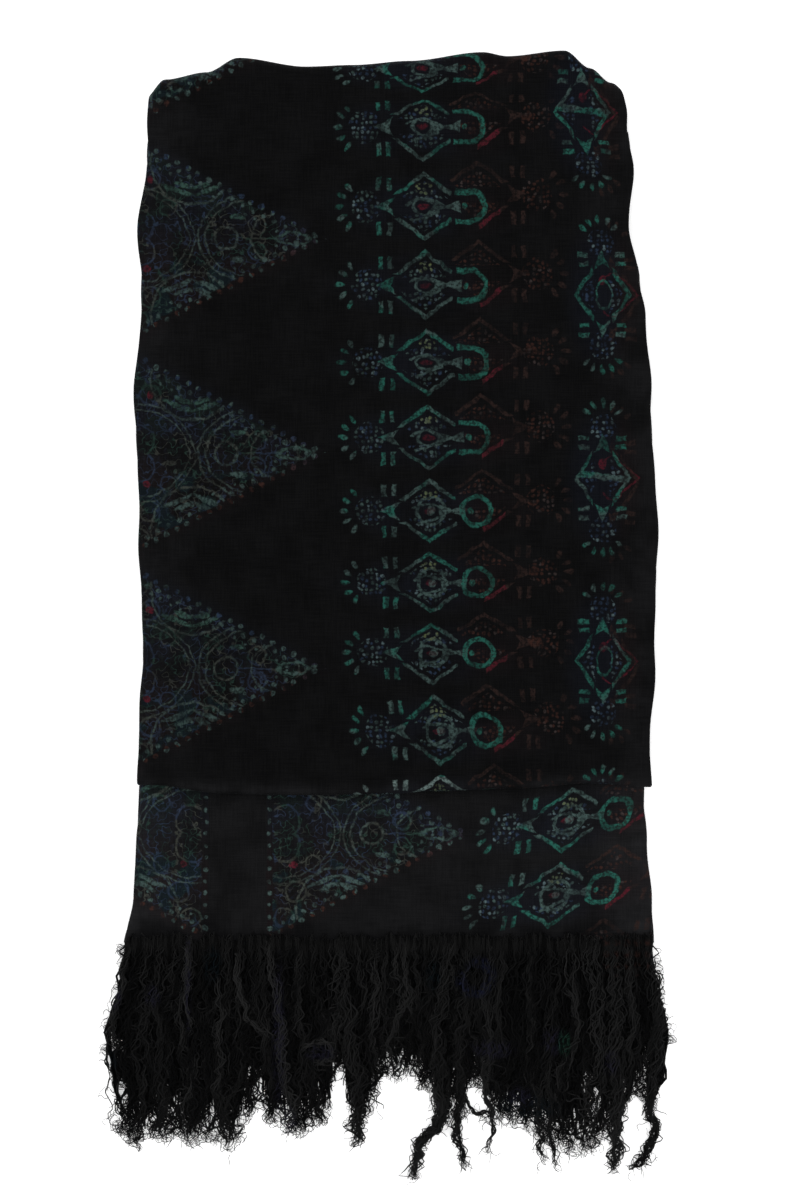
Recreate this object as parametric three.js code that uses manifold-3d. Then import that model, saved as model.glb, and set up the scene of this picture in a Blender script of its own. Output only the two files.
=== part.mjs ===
// Batik stole, folded and laid flat, with both of its fringes towards -Y.
// Millimetres, +Z up. The cloth rests on z = 0 and the origin lies under the middle of its outline.
//
// The stole is folded lengthwise in two, which makes a band of two layers, called a page here. The band is
// doubled, so that both fringed ends meet, and its folded end is turned over to the front as a flap.
// So four pages lie on each other: 1 is the lowest and 4 is the top of the flap.

import * as THREE from "three";
import { mergeVertices } from "three/addons/utils/BufferGeometryUtils.js";
import Module from "manifold-3d";

const wasm = await Module();
wasm.setup();

// Driving dimensions of the cloth
const WALL = 1.1; // one layer of cloth, with the air that it holds
const PAGE = 2.7; // two layers
const GAP = 0.3; // between pages, and between pieces
const PITCH = PAGE + GAP;
const PILE = 4 * PITCH - GAP; // all four pages
const LAID_HALF = 160; // half the width between the side folds
const TOP_HALF = 148; // the same at the top fold
const SIDE_LIP = 14; // how far a page's lower layer is shown turned under at the sides

// Driving dimensions along the stole
const TOP_FOLD = 341;
const TOP_LIP = 30; // what turns under at the top fold and lies on the surface
const TOP_SLUMP = 80; // the stretch over which the top edge's own outline fades
const FLAP_END = -108.5;
const FLAP_LIP = 14; // what turns back under the flap's lower fold
const HEM = -203.5;
const HEM_TUCK = 28; // how far the front hem stretch reaches up under the flap

// Radii of the two folds, outside
const TOP_RADIUS = PILE / 2;
const FLAP_RADIUS = (2 * PITCH - GAP) / 2;

// Driving dimensions of the fringes
const LOCKS = 42; // in each row
const LOCK_WIDTH = 6.2;
const TIP_WIDTH = 1;
const STRIP = 2.5; // depth of the strip that a fringe grows from
const TIP_CLEARANCE = 0.5; // tips end this far above the surface

// Where the side folds run on the flap and on the lower pages
const FLAP_SIDES = [
  { y: -110, left: -154, right: 166 },
  { y: -85, left: -152.5, right: 164 },
  { y: -25, left: -150, right: 167 },
  { y: 50, left: -152, right: 168.5 },
  { y: 140, left: -155, right: 164.5 },
  { y: 185, left: -151, right: 161 },
  { y: 210, left: -151, right: 157.5 },
  { y: 240, left: -153, right: 150.5 },
  { y: 275, left: -147.5, right: 153.5 },
  { y: 322, left: -147, right: 150 },
  { y: 350, left: -146, right: 146 },
];
const UNDER_SIDES = [
  { y: -206, left: -162, right: 166.5 },
  { y: -175, left: -156, right: 165.5 },
  { y: -140, left: -154, right: 162 },
  { y: -112, left: -152.5, right: 160.5 },
  { y: -60, left: -150, right: 163 },
  ...FLAP_SIDES.filter((row) => row.y > -50),
];

// How the top fold rises and slumps across the stole
const TOP_EDGE = [
  { x: -150, rise: -20 },
  { x: -138, rise: -9 },
  { x: -112, rise: -4.5 },
  { x: -92, rise: 4.5 },
  { x: -50, rise: -1 },
  { x: -20, rise: 0 },
  { x: 15, rise: 2.5 },
  { x: 61, rise: 8 },
  { x: 76, rise: 5.5 },
  { x: 112, rise: 9 },
  { x: 128, rise: -2 },
  { x: 141, rise: -11 },
  { x: 154, rise: -20 },
];

// The largest soft folds, each a low ridge or trough from one end to the other
const FOLDS = [
  { fromX: -150, fromY: 262, toX: -20, toY: 306, width: 30, height: 1.6 },
  { fromX: 20, fromY: 318, toX: 150, toY: 236, width: 28, height: 1.5 },
  { fromX: 165, fromY: 206, toX: 88, toY: 172, width: 26, height: 1.7 },
  { fromX: -148, fromY: 118, toX: -70, toY: 150, width: 32, height: -1.4 },
  { fromX: 160, fromY: 70, toX: 118, toY: -60, width: 30, height: 1.3 },
  { fromX: -146, fromY: -20, toX: -96, toY: -84, width: 30, height: 1.3 },
  { fromX: -30, fromY: 60, toX: 10, toY: 190, width: 40, height: 1.1 },
];

// How far the locks reach below the hem, by where their tips lie
const LOCK_REACH = [
  { x: -174, reach: 118 },
  { x: -165, reach: 102 },
  { x: -150, reach: 136 },
  { x: -139, reach: 123 },
  { x: -112, reach: 130 },
  { x: -92, reach: 127 },
  { x: -80, reach: 102 },
  { x: -62, reach: 122 },
  { x: -48, reach: 122 },
  { x: -38, reach: 112 },
  { x: -29, reach: 78 },
  { x: -20, reach: 126 },
  { x: -12, reach: 124 },
  { x: -5, reach: 85 },
  { x: 22, reach: 85 },
  { x: 29, reach: 143 },
  { x: 36, reach: 130 },
  { x: 42, reach: 116 },
  { x: 52, reach: 139 },
  { x: 62, reach: 112 },
  { x: 72, reach: 128 },
  { x: 88, reach: 113 },
  { x: 101, reach: 141 },
  { x: 120, reach: 127 },
  { x: 136, reach: 128 },
  { x: 144, reach: 144 },
  { x: 152, reach: 94 },
  { x: 159, reach: 94 },
  { x: 166, reach: 142 },
  { x: 172, reach: 112 },
  { x: 178, reach: 76 },
];

// Locks whose ends curl aside, by where they grow, where the curl starts and how far it goes
const CURLS = [
  { x: 28, start: 104, bend: -12 },
  { x: 163, start: 112, bend: -11 },
];

// Rows of locks: their stagger, heights at the root and along the row, and share of the full reach
const FRONT_ROWS = [
  { stagger: 0, root: 4.3, level: 3.4, rise: 1, share: 1, spread: 0.07, seed: 0.1 },
  { stagger: 0.5, root: 3.2, level: 1.9, rise: 0.8, share: 0.9, spread: 0.08, seed: 0.37 },
];
const BACK_ROWS = [
  { stagger: 0.5, root: 0.5, level: 0.5, rise: 1, share: 0.7, spread: 0.07, seed: 0.73 },
];

// Helpers for tables and curves
const clamp = (value) => Math.min(Math.max(value, 0), 1);
const smooth = (value) => clamp(value) ** 2 * (3 - 2 * clamp(value));
const GOLDEN = 0.618034;
const scatter = (index, seed) => (index * GOLDEN + seed) % 1;

function read(table, key, at, column) {
  const next = table.findIndex((row) => row[key] > at);
  if (next === 0) return table[0][column];
  if (next < 0) return table[table.length - 1][column];
  const low = table[next - 1];
  const high = table[next];
  return THREE.MathUtils.lerp(low[column], high[column], smooth((at - low[key]) / (high[key] - low[key])));
}

// Height that the soft folds add to the face of the pile; it fades out before the hem
function swell(x, y) {
  const here = new THREE.Vector2(x, y);
  let height = 0;
  for (const fold of FOLDS) {
    const start = new THREE.Vector2(fold.fromX, fold.fromY);
    const run = new THREE.Vector2(fold.toX, fold.toY).sub(start);
    const along = here.clone().sub(start).dot(run) / run.lengthSq();
    const nearest = start.clone().addScaledVector(run, clamp(along));
    const off = here.distanceTo(nearest) / fold.width;
    height += fold.height * Math.exp(-off * off);
  }
  return height * smooth((y - HEM - 20) / 60);
}

// A point of the straight, even pile goes to its place in the laid stole. The lowest layer stays flat
function place(x, y, z, sides) {
  const left = read(sides, "y", y, "left");
  const right = read(sides, "y", y, "right");
  const across = left + ((right - left) * (x / LAID_HALF + 1)) / 2;
  const slump = smooth((y - TOP_FOLD + TOP_SLUMP) / TOP_SLUMP);
  const along = y + slump * read(TOP_EDGE, "x", (x / LAID_HALF) * TOP_HALF, "rise");
  const lifted = Math.max(z - WALL - GAP, 0) / (PILE - WALL - GAP);
  return [across, along, z + lifted * swell(x, y)];
}

// Closed bodies from points and faces
class Body {
  constructor() {
    this.points = [];
    this.faces = [];
  }

  point(position) {
    this.points.push(position);
    return this.points.length - 1;
  }

  // Neighbouring layers are cut into triangles along the same diagonals, so that their gap stays even
  quad(a, b, c, d) {
    const reach = (from, to) => {
      const [fromX, fromY] = this.points[from];
      const [toX, toY] = this.points[to];
      return Math.abs(toX + toY - fromX - fromY);
    };
    if (reach(a, c) >= reach(b, d)) this.faces.push([a, b, c], [a, c, d]);
    else this.faces.push([b, c, d], [b, d, a]);
  }

  geometry() {
    const raw = new THREE.BufferGeometry();
    raw.setAttribute("position", new THREE.Float32BufferAttribute(this.points.flat(), 3));
    raw.setIndex(this.faces.flat());
    const merged = mergeVertices(raw, 1e-4);
    const old = merged.index.array;
    const kept = [];
    for (let at = 0; at < old.length; at += 3) {
      const [a, b, c] = old.slice(at, at + 3);
      if (a !== b && b !== c && c !== a) kept.push(a, b, c);
    }
    merged.setIndex(kept);
    return merged;
  }
}

// The section of a page whose lower layer shows only at the sides: pairs of outer and inner points, as a
// distance across and a depth below the page's face
const NOSE_STEPS = 4;
const COLUMNS = 12; // across the faces of the layers
const LIP_X = LAID_HALF - SIDE_LIP;
const LIP_CLEAR = 4.5; // room between a side lip's cut edge and what fills the page
const CORE_HALF = LIP_X - LIP_CLEAR;
const GROOVE = 4; // depth of the groove between the side folds of the inner pages
const INSET = 1.6; // how far those side folds stay inside the flap's
const GROOVE_X = LAID_HALF - INSET - GROOVE;

function faceColumns() {
  const columns = Array.from({ length: COLUMNS + 1 }, (_, column) => CORE_HALF * ((2 * column) / COLUMNS - 1));
  return [-GROOVE_X, -LIP_X, ...columns, LIP_X, GROOVE_X];
}

function pageSection() {
  const pairs = [];
  const noseX = LAID_HALF - PAGE / 2;
  const nosePoint = (side, turn, radius) => [
    side * (noseX + radius * Math.sin(turn)),
    PAGE / 2 + radius * Math.cos(turn),
  ];
  const nosePair = (side, turn) => ({
    outer: nosePoint(side, turn, PAGE / 2),
    inner: nosePoint(side, turn, PAGE / 2 - WALL),
  });
  const lipPair = (x) => ({ outer: [x, PAGE], inner: [x, PAGE - WALL] });
  pairs.push(lipPair(-LIP_X), lipPair(-GROOVE_X));
  for (let step = 0; step <= NOSE_STEPS; step++) pairs.push(nosePair(-1, (Math.PI * step) / NOSE_STEPS));
  for (const x of faceColumns()) pairs.push({ outer: [x, 0], inner: [x, WALL] });
  for (let step = NOSE_STEPS; step >= 0; step--) pairs.push(nosePair(1, (Math.PI * step) / NOSE_STEPS));
  pairs.push(lipPair(GROOVE_X), lipPair(LIP_X));
  return pairs;
}

// Places along the stole at which all layers have a row of points: the ends, and multiples of a step
const ALONG_STEP = 27;
const BACK_STEP = 54;
const LEAST_STEP = 3;
const TOP_TURNS = 4; // rows of points in each quarter of the top fold
const FLAP_TURNS = 5; // rows of points round the flap's lower fold

function stops(fromY, toY, step) {
  const [low, high] = [Math.min(fromY, toY), Math.max(fromY, toY)];
  const between = [];
  for (let y = Math.ceil(low / step) * step; y < high; y += step) {
    if (y - low > LEAST_STEP && high - y > LEAST_STEP) between.push(y);
  }
  return fromY < toY ? [low, ...between, high] : [high, ...between.reverse(), low];
}

// Stations of a path in the y-z plane, each with the way its face looks
function straight(fromY, toY, z, facing, step = ALONG_STEP) {
  return stops(fromY, toY, step).map((y) => ({ y, z, out: [0, facing] }));
}

function bend(centreY, radius, middleZ, from, to, steps) {
  const stations = [];
  for (let step = 1; step < steps; step++) {
    const turn = THREE.MathUtils.lerp(from, to, step / steps);
    const out = [Math.cos(turn), Math.sin(turn)];
    stations.push({ y: centreY + radius * out[0], z: middleZ + radius * out[1], out });
  }
  return stations;
}

// A page's section swept along a path: the true wall of a stretch of cloth
function clothWall(path, sides) {
  const section = pageSection();
  const body = new Body();
  const rows = path.map((station) => {
    const put = ([x, depth]) => {
      const y = station.y - depth * station.out[0];
      const z = station.z - depth * station.out[1];
      return body.point(place(x, y, z, sides));
    };
    return section.map((pair) => ({ outer: put(pair.outer), inner: put(pair.inner) }));
  });
  const last = section.length - 1;
  for (let at = 0; at + 1 < rows.length; at++) {
    const near = rows[at];
    const far = rows[at + 1];
    for (let i = 0; i < last; i++) {
      body.quad(near[i].outer, near[i + 1].outer, far[i + 1].outer, far[i].outer);
      body.quad(near[i].inner, far[i].inner, far[i + 1].inner, near[i + 1].inner);
    }
    body.quad(near[0].outer, far[0].outer, far[0].inner, near[0].inner);
    body.quad(near[last].outer, near[last].inner, far[last].inner, far[last].outer);
  }
  const first = rows[0];
  const end = rows[rows.length - 1];
  for (let i = 0; i < last; i++) {
    body.quad(first[i].outer, first[i].inner, first[i + 1].inner, first[i + 1].outer);
    body.quad(end[i].outer, end[i + 1].outer, end[i + 1].inner, end[i].inner);
  }
  return body.geometry();
}

function frontFlap() {
  const lowerZ = 2 * PITCH;
  const foldY = FLAP_END + FLAP_RADIUS;
  const topY = TOP_FOLD - TOP_RADIUS;
  const path = [
    ...straight(FLAP_END + FLAP_LIP, foldY, lowerZ, -1),
    ...bend(foldY, FLAP_RADIUS, lowerZ + FLAP_RADIUS, 1.5 * Math.PI, 0.5 * Math.PI, FLAP_TURNS),
    ...straight(foldY, topY, PILE, 1),
    ...bend(topY, TOP_RADIUS, TOP_RADIUS, 0.5 * Math.PI, -0.5 * Math.PI, 2 * TOP_TURNS),
    ...straight(topY, TOP_FOLD - TOP_LIP, 0, -1),
  ];
  return clothWall(path, FLAP_SIDES);
}

function hemStretch() {
  return clothWall(straight(HEM, FLAP_END + HEM_TUCK, PITCH + PAGE, 1), UNDER_SIDES);
}

function backStretch() {
  return clothWall(straight(TOP_FOLD - TOP_LIP - GAP, HEM, 0, -1, BACK_STEP), UNDER_SIDES);
}

// The hidden layers, as blocks between planes: across, along and up. The levels mirror about the pile's
// middle, and the fourth and ninth lie just clear of the walls of the hem stretch and the flap's lip
const BEVEL = 0.4; // where a side fold's rounding starts, above and below its page
const BLOCK_CLEAR = 0.6; // between a block's end and the cloth that it butts against
const THIN_TOP = 2 * PITCH - 2 * GAP - WALL;

function hiddenLevels() {
  const low = [WALL + GAP, PITCH, PITCH + BEVEL, THIN_TOP, PITCH + PAGE - BEVEL, PITCH + PAGE];
  return [...low, ...low.map((z) => PILE - z).reverse()];
}

function hiddenAcross() {
  const edge = LAID_HALF - INSET;
  const sideX = [edge, edge - PAGE / 2];
  return [...sideX.map((x) => -x), ...faceColumns(), ...sideX.reverse()];
}

function hiddenAlong() {
  const starts = [
    HEM + GROOVE,
    FLAP_END + FLAP_RADIUS,
    FLAP_END + FLAP_LIP + BLOCK_CLEAR,
    FLAP_END + HEM_TUCK + BLOCK_CLEAR,
    TOP_FOLD - TOP_RADIUS,
  ];
  const stations = [];
  for (let i = 0; i + 1 < starts.length; i++) {
    for (const y of stops(starts[i], starts[i + 1], ALONG_STEP).slice(0, -1)) stations.push({ y, turn: 0 });
  }
  const quarter = Math.PI / 2;
  for (let i = 0; i <= TOP_TURNS; i++) stations.push({ y: starts[4], turn: quarter * (i / TOP_TURNS) });
  return { stations, starts };
}

function innerLayers() {
  const levels = hiddenLevels();
  const across = hiddenAcross();
  const { stations, starts } = hiddenAlong();
  const [, coreStart, flapLipEnd, hemTuckEnd] = starts;
  const middle = PILE / 2;
  const filled = (x, y, z) => {
    const core = Math.abs(x) < CORE_HALF;
    const inGroove = Math.abs(x) > GROOVE_X && Math.abs(z - middle) < GAP / 2;
    if (inGroove) return false;
    if (!core && (z < PITCH || z > PILE - PITCH)) return false;
    if (y > hemTuckEnd) return true;
    if (core && z < THIN_TOP) return true;
    if (y > flapLipEnd) return z > middle + GAP / 2;
    return core && y > coreStart && z > PILE - THIN_TOP;
  };
  const noseRound = (z) => {
    const centre = z < middle ? PITCH + PAGE / 2 : 2 * PITCH + PAGE / 2;
    const off = Math.min(Math.abs(z - centre) / (PAGE / 2), 1);
    return (PAGE / 2) * (1 - Math.sqrt(1 - off * off));
  };
  const body = new Body();
  const put = (xi, yi, zi) => {
    const z = levels[zi];
    const station = stations[yi];
    const atEdge = xi === 0 || xi === across.length - 1;
    const x = across[xi] - (atEdge ? Math.sign(across[xi]) * noseRound(z) : 0);
    const radius = Math.abs(z - middle);
    const y = station.y + radius * Math.sin(station.turn);
    const turnedZ = middle + (z - middle) * Math.cos(station.turn);
    return body.point(place(x, y, turnedZ, z < middle ? UNDER_SIDES : FLAP_SIDES));
  };
  const index = (i, j, k) => (i * stations.length + j) * levels.length + k;
  across.forEach((x, i) => stations.forEach((s, j) => levels.forEach((z, k) => put(i, j, k))));
  const isFilled = (i, j, k) => {
    const inside = i >= 0 && j >= 0 && k >= 0;
    if (!inside || i + 1 >= across.length || j + 1 >= stations.length || k + 1 >= levels.length) return false;
    const y = (stations[j].y + stations[j + 1].y) / 2 + (stations[j + 1].turn > 0 ? 1 : 0);
    return filled((across[i] + across[i + 1]) / 2, y, (levels[k] + levels[k + 1]) / 2);
  };
  for (let i = 0; i + 1 < across.length; i++) {
    for (let j = 0; j + 1 < stations.length; j++) {
      for (let k = 0; k + 1 < levels.length; k++) {
        if (!isFilled(i, j, k)) continue;
        const corner = (di, dj, dk) => index(i + di, j + dj, k + dk);
        if (!isFilled(i, j, k + 1)) body.quad(corner(0, 0, 1), corner(1, 0, 1), corner(1, 1, 1), corner(0, 1, 1));
        if (!isFilled(i, j, k - 1)) body.quad(corner(0, 0, 0), corner(0, 1, 0), corner(1, 1, 0), corner(1, 0, 0));
        if (!isFilled(i - 1, j, k)) body.quad(corner(0, 0, 0), corner(0, 0, 1), corner(0, 1, 1), corner(0, 1, 0));
        if (!isFilled(i + 1, j, k)) body.quad(corner(1, 0, 0), corner(1, 1, 0), corner(1, 1, 1), corner(1, 0, 1));
        if (!isFilled(i, j - 1, k)) body.quad(corner(0, 0, 0), corner(1, 0, 0), corner(1, 0, 1), corner(0, 0, 1));
      }
    }
  }
  return body.geometry();
}

// The way that all locks lean together, so that neighbours never cross
function lean(x, down) {
  const settled = smooth(down / 45);
  const flare = x < 0 ? -14 : 10;
  const outward = flare * settled * Math.abs(x / LAID_HALF) ** 3;
  const waves = 1.8 * Math.sin(down / 11 + x / 24) + 2.4 * Math.sin(down / 37 - x / 29);
  return outward + settled * waves;
}

const LOCK_STEPS = 6;

function lock(row, number) {
  const hemLeft = read(UNDER_SIDES, "y", HEM, "left");
  const hemRight = read(UNDER_SIDES, "y", HEM, "right");
  const pitch = (hemRight - hemLeft - LOCK_WIDTH / 2) / LOCKS;
  const rootX = hemLeft + pitch * (number + 0.5 + row.stagger * 0.9);
  const reach = read(LOCK_REACH, "x", rootX + lean(rootX, 100), "reach");
  const length = reach * (row.share - row.spread * scatter(number, row.seed));
  const curl = row.share === 1 && CURLS.find((bent) => Math.abs(bent.x - rootX) < pitch / 2);
  const body = new Body();
  const rings = [];
  for (let step = 0; step <= LOCK_STEPS; step++) {
    const along = step / LOCK_STEPS;
    const down = length * along;
    const bendX = curl ? curl.bend * smooth((down - curl.start) / 34) : 0;
    const x = rootX + lean(rootX, down) + bendX;
    const width = THREE.MathUtils.lerp(LOCK_WIDTH, TIP_WIDTH, smooth((along - 0.42) / 0.58));
    const settle = THREE.MathUtils.lerp(row.root, row.level, smooth((down - 3) / 20));
    const base = THREE.MathUtils.lerp(settle, TIP_CLEARANCE, smooth((along - 0.84) / 0.16));
    const rise = THREE.MathUtils.lerp(row.rise, row.rise * 0.6, along);
    const y = HEM - GAP - STRIP / 2 - down;
    const left = body.point([x - width / 2, y, base]);
    const right = body.point([x + width / 2, y, base]);
    rings.push([left, right, body.point([x, y, base + rise])]);
  }
  for (let step = 0; step < LOCK_STEPS; step++) {
    for (let side = 0; side < 3; side++) {
      const next = (side + 1) % 3;
      body.quad(rings[step][side], rings[step][next], rings[step + 1][next], rings[step + 1][side]);
    }
  }
  const [a, b, c] = rings[0];
  body.faces.push([a, c, b], rings[LOCK_STEPS]);
  return body.geometry();
}

// The narrow strip that a fringe grows from, just clear of the hem
function strip(low, high) {
  const body = new Body();
  const columns = 12;
  const rings = [];
  for (let column = 0; column <= columns; column++) {
    const x = LAID_HALF * ((2 * column) / columns - 1);
    const corners = [[HEM - GAP - STRIP, low], [HEM - GAP, low], [HEM - GAP, high], [HEM - GAP - STRIP, high]];
    rings.push(corners.map(([y, z]) => body.point(place(x, y, z, UNDER_SIDES))));
  }
  for (let column = 0; column < columns; column++) {
    for (let side = 0; side < 4; side++) {
      const next = (side + 1) % 4;
      body.quad(rings[column][side], rings[column][next], rings[column + 1][next], rings[column + 1][side]);
    }
  }
  const first = rings[0];
  const end = rings[columns];
  body.quad(first[0], first[3], first[2], first[1]);
  body.quad(end[0], end[1], end[2], end[3]);
  return body.geometry();
}

function toSolid(geometry) {
  const vertProperties = new Float32Array(geometry.attributes.position.array);
  const triVerts = new Uint32Array(geometry.index.array);
  return new wasm.Manifold(new wasm.Mesh({ numProp: 3, vertProperties, triVerts }));
}

function toGeometry(solid) {
  const mesh = solid.getMesh();
  const geometry = new THREE.BufferGeometry();
  geometry.setAttribute("position", new THREE.Float32BufferAttribute(Array.from(mesh.vertProperties), 3));
  geometry.setIndex(Array.from(mesh.triVerts));
  return geometry;
}

function fringe(rows, low, high) {
  let solid = toSolid(strip(low, high));
  for (const row of rows) {
    for (let number = 0; number < LOCKS; number++) solid = solid.add(toSolid(lock(row, number)));
  }
  return toGeometry(solid);
}

// The finished pieces
const cloth = new THREE.MeshStandardMaterial({ color: 0x0c0c0d, roughness: 0.85, metalness: 0 });
const hemCloth = new THREE.MeshStandardMaterial({ color: 0x141417, roughness: 0.85, metalness: 0 });
const yarn = new THREE.MeshStandardMaterial({ color: 0x0a0a0c, roughness: 0.7, metalness: 0 });

const stole = new THREE.Group();

function addPiece(name, geometry, material) {
  geometry.computeVertexNormals();
  const mesh = new THREE.Mesh(geometry, material);
  mesh.name = name;
  stole.add(mesh);
}

addPiece("front_flap", frontFlap(), cloth);
addPiece("hem_stretch", hemStretch(), hemCloth);
addPiece("back_stretch", backStretch(), cloth);
addPiece("inner_layers", innerLayers(), cloth);
addPiece("front_fringe", fringe(FRONT_ROWS, PITCH + 0.1, PITCH + PAGE - 0.3), yarn);
addPiece("back_fringe", fringe(BACK_ROWS, GAP, PAGE - GAP), yarn);

const middle = new THREE.Box3().setFromObject(stole).getCenter(new THREE.Vector3());
stole.position.set(-middle.x, -middle.y, 0);

export default stole;
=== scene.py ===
# %% [markdown]
# # A batik stole, folded and laid flat
# A long dark cloth with a yarn fringe on each short end. It is folded lengthwise in two, doubled so that
# both fringes meet, and its folded end is turned over to the front as a flap. It lies on a pale table and
# is seen from straight above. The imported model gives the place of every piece. This lesson gives each of
# them its cloth, its yarn, its creases and its print.

import math

import bpy
import numpy as np
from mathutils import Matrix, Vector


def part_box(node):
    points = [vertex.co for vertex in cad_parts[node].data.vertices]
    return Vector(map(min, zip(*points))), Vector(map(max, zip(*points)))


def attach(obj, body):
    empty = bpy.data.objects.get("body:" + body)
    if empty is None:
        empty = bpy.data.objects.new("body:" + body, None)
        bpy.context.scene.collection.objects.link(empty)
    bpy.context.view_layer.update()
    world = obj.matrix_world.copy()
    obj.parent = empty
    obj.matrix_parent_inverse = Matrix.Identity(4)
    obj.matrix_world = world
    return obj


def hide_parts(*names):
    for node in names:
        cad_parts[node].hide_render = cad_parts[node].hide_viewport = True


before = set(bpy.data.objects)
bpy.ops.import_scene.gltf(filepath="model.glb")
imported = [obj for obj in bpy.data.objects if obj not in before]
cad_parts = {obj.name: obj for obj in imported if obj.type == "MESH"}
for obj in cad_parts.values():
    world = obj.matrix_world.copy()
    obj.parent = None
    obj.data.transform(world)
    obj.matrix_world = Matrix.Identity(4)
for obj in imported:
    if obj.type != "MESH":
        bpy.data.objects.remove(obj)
bpy.ops.object.select_all(action="DESELECT")
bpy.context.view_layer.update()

# %% [markdown]
# ## The sizes of the folded stole
# All sizes here are in millimetres, as they would be read from a ruler laid on the cloth, and a point goes
# to metres only when its mesh is made. A band of two layers is called a page: four pages lie on each
# other, and page 1 is the lowest.

# %% Sizes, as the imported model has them
MM = 0.001
PAGE = 2.7  # thickness of a page, two layers of cloth and the air between them
PITCH = 3.0  # from one page to the next
PILE = 4 * PITCH - 0.3  # all four pages
LAID_HALF = 160  # half the width, before the side folds wander
TOP_HALF = 148
SIDE_LIP = 14
TOP_FOLD = 341
TOP_LIP = 30
TOP_SLUMP = 80
FLAP_END = -108.5
FLAP_LIP = 14
HEM = -203.5
HEM_TUCK = 28
TOP_RADIUS = PILE / 2
FLAP_RADIUS = PITCH - 0.15

# Where the side folds run: along the stole, left side, right side
FLAP_SIDES = [
    (-110, -154, 166), (-85, -152.5, 164), (-25, -150, 167), (50, -152, 168.5), (140, -155, 164.5),
    (185, -151, 161), (210, -151, 157.5), (240, -153, 150.5), (275, -147.5, 153.5), (322, -147, 150),
    (350, -146, 146),
]
UNDER_SIDES = [
    (-206, -162, 166.5), (-175, -156, 165.5), (-140, -154, 162), (-112, -152.5, 160.5), (-60, -150, 163),
] + [row for row in FLAP_SIDES if row[0] > -50]

# How the top fold rises and slumps, and how the flap's lower fold does: across the stole, rise
TOP_EDGE = [
    (-150, -20), (-138, -9), (-112, -4.5), (-92, 4.5), (-50, -1), (-20, 0), (15, 2.5), (61, 8),
    (76, 5.5), (112, 9), (128, -2), (141, -11), (154, -20),
]
LOWER_EDGE = [
    (-149, 3.1), (-108, -1.9), (-63, -3.1), (-6, -2.5), (22, -0.6), (76, 1.2), (121, 4.3), (159, 1.9),
]


def smooth(value):
    """0 below 0, 1 above 1, and a soft step between."""
    value = np.clip(value, 0, 1)
    return value**2 * (3 - 2 * value)


def read(table, at, column=1):
    """The value at a place, from a table of places and values, with a soft step from row to row."""
    rows = np.array(table, float)
    at = np.asarray(at, float)
    low = np.clip(np.searchsorted(rows[:, 0], at, side="right") - 1, 0, len(rows) - 2)
    share = smooth((at - rows[low, 0]) / (rows[low + 1, 0] - rows[low, 0]))
    return rows[low, column] + (rows[low + 1, column] - rows[low, column]) * share


# The hem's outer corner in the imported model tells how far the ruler's zero lies from the model's origin
hem_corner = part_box("hem_stretch")[0]
SHIFT_X = hem_corner.x / MM - read(UNDER_SIDES, HEM, 1)
SHIFT_Y = hem_corner.y / MM - HEM
print(f"from the ruler to the model: {SHIFT_X:.2f} mm across, {SHIFT_Y:.2f} mm along")

# %% [markdown]
# ## Soft folds and creases
# Real cloth that has been folded by hand never lies quite flat. Its large soft folds are in the packed
#  model. On top of them come narrower creases, each a low ridge or a shallow trough that fades at both of
#  its ends. A cloth simulation could make creases, but it would put them anywhere. Placed one by one, they
#  lie where the real stole has them: fanning from the turned corners, and beside the folded edges.

# %% Ridges and troughs, listed one by one
# From x, y to x, y, half width, height; below zero is a trough
SOFT_FOLDS = [
    (-150, 262, -20, 306, 30, 1.6), (20, 318, 150, 236, 28, 1.5), (165, 206, 88, 172, 26, 1.7),
    (-148, 118, -70, 150, 32, -1.4), (160, 70, 118, -60, 30, 1.3), (-146, -20, -96, -84, 30, 1.3),
    (-30, 60, 10, 190, 40, 1.1),
]
FLAP_CREASES = [
    (-132, 318, -48, 296, 5, 0.5), (-104, 330, -20, 318, 6, -0.45), (60, 330, 132, 300, 5, 0.5),
    (96, 322, 148, 272, 6, 0.55), (150, 246, 92, 214, 7, 0.7), (158, 226, 112, 190, 6, -0.55),
    (162, 196, 122, 160, 6, 0.6), (-150, 232, -96, 214, 7, 0.55), (-152, 206, -112, 180, 6, -0.45),
    (-154, 150, -92, 134, 8, 0.6), (-153, 96, -108, 60, 7, 0.5), (166, 118, 120, 92, 7, 0.5),
    (166, 20, 112, -6, 8, 0.55), (165, -30, 128, -72, 6, -0.5), (-150, 24, -116, -12, 6, 0.45),
    (-152, -60, -98, -92, 7, 0.6), (-60, -98, 60, -86, 9, 0.45), (70, -100, 150, -84, 6, 0.5),
    (-40, 250, 70, 262, 12, 0.5), (-20, 40, 84, 12, 12, -0.45), (20, 150, 110, 118, 11, 0.4),
    (-96, 12, -10, -22, 12, 0.4), (-6, 322, 2, 276, 5, 0.4), (36, 328, 30, 286, 5, -0.4),
]
HEM_CREASES = [
    (-156, -150, -96, -132, 7, 0.6), (-120, -182, -40, -190, 6, 0.65), (-90, -122, -30, -150, 8, -0.5),
    (-20, -186, 90, -196, 6, 0.6), (10, -130, 70, -160, 9, 0.5), (162, -128, 110, -146, 7, 0.6),
    (164, -170, 96, -182, 7, 0.5), (-152, -196, -110, -176, 6, -0.45), (60, -120, 130, -118, 5, 0.4),
]
print(len(SOFT_FOLDS), "soft folds and", len(FLAP_CREASES) + len(HEM_CREASES), "narrow creases")


def off_line(x, y, from_x, from_y, to_x, to_y):
    """How far along a line from 0 to 1, how far beside it, and the line's length."""
    run_x = to_x - from_x
    run_y = to_y - from_y
    length = math.hypot(run_x, run_y)
    along = ((x - from_x) * run_x + (y - from_y) * run_y) / length**2
    aside = ((x - from_x) * run_y - (y - from_y) * run_x) / length
    return along, aside, length


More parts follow.
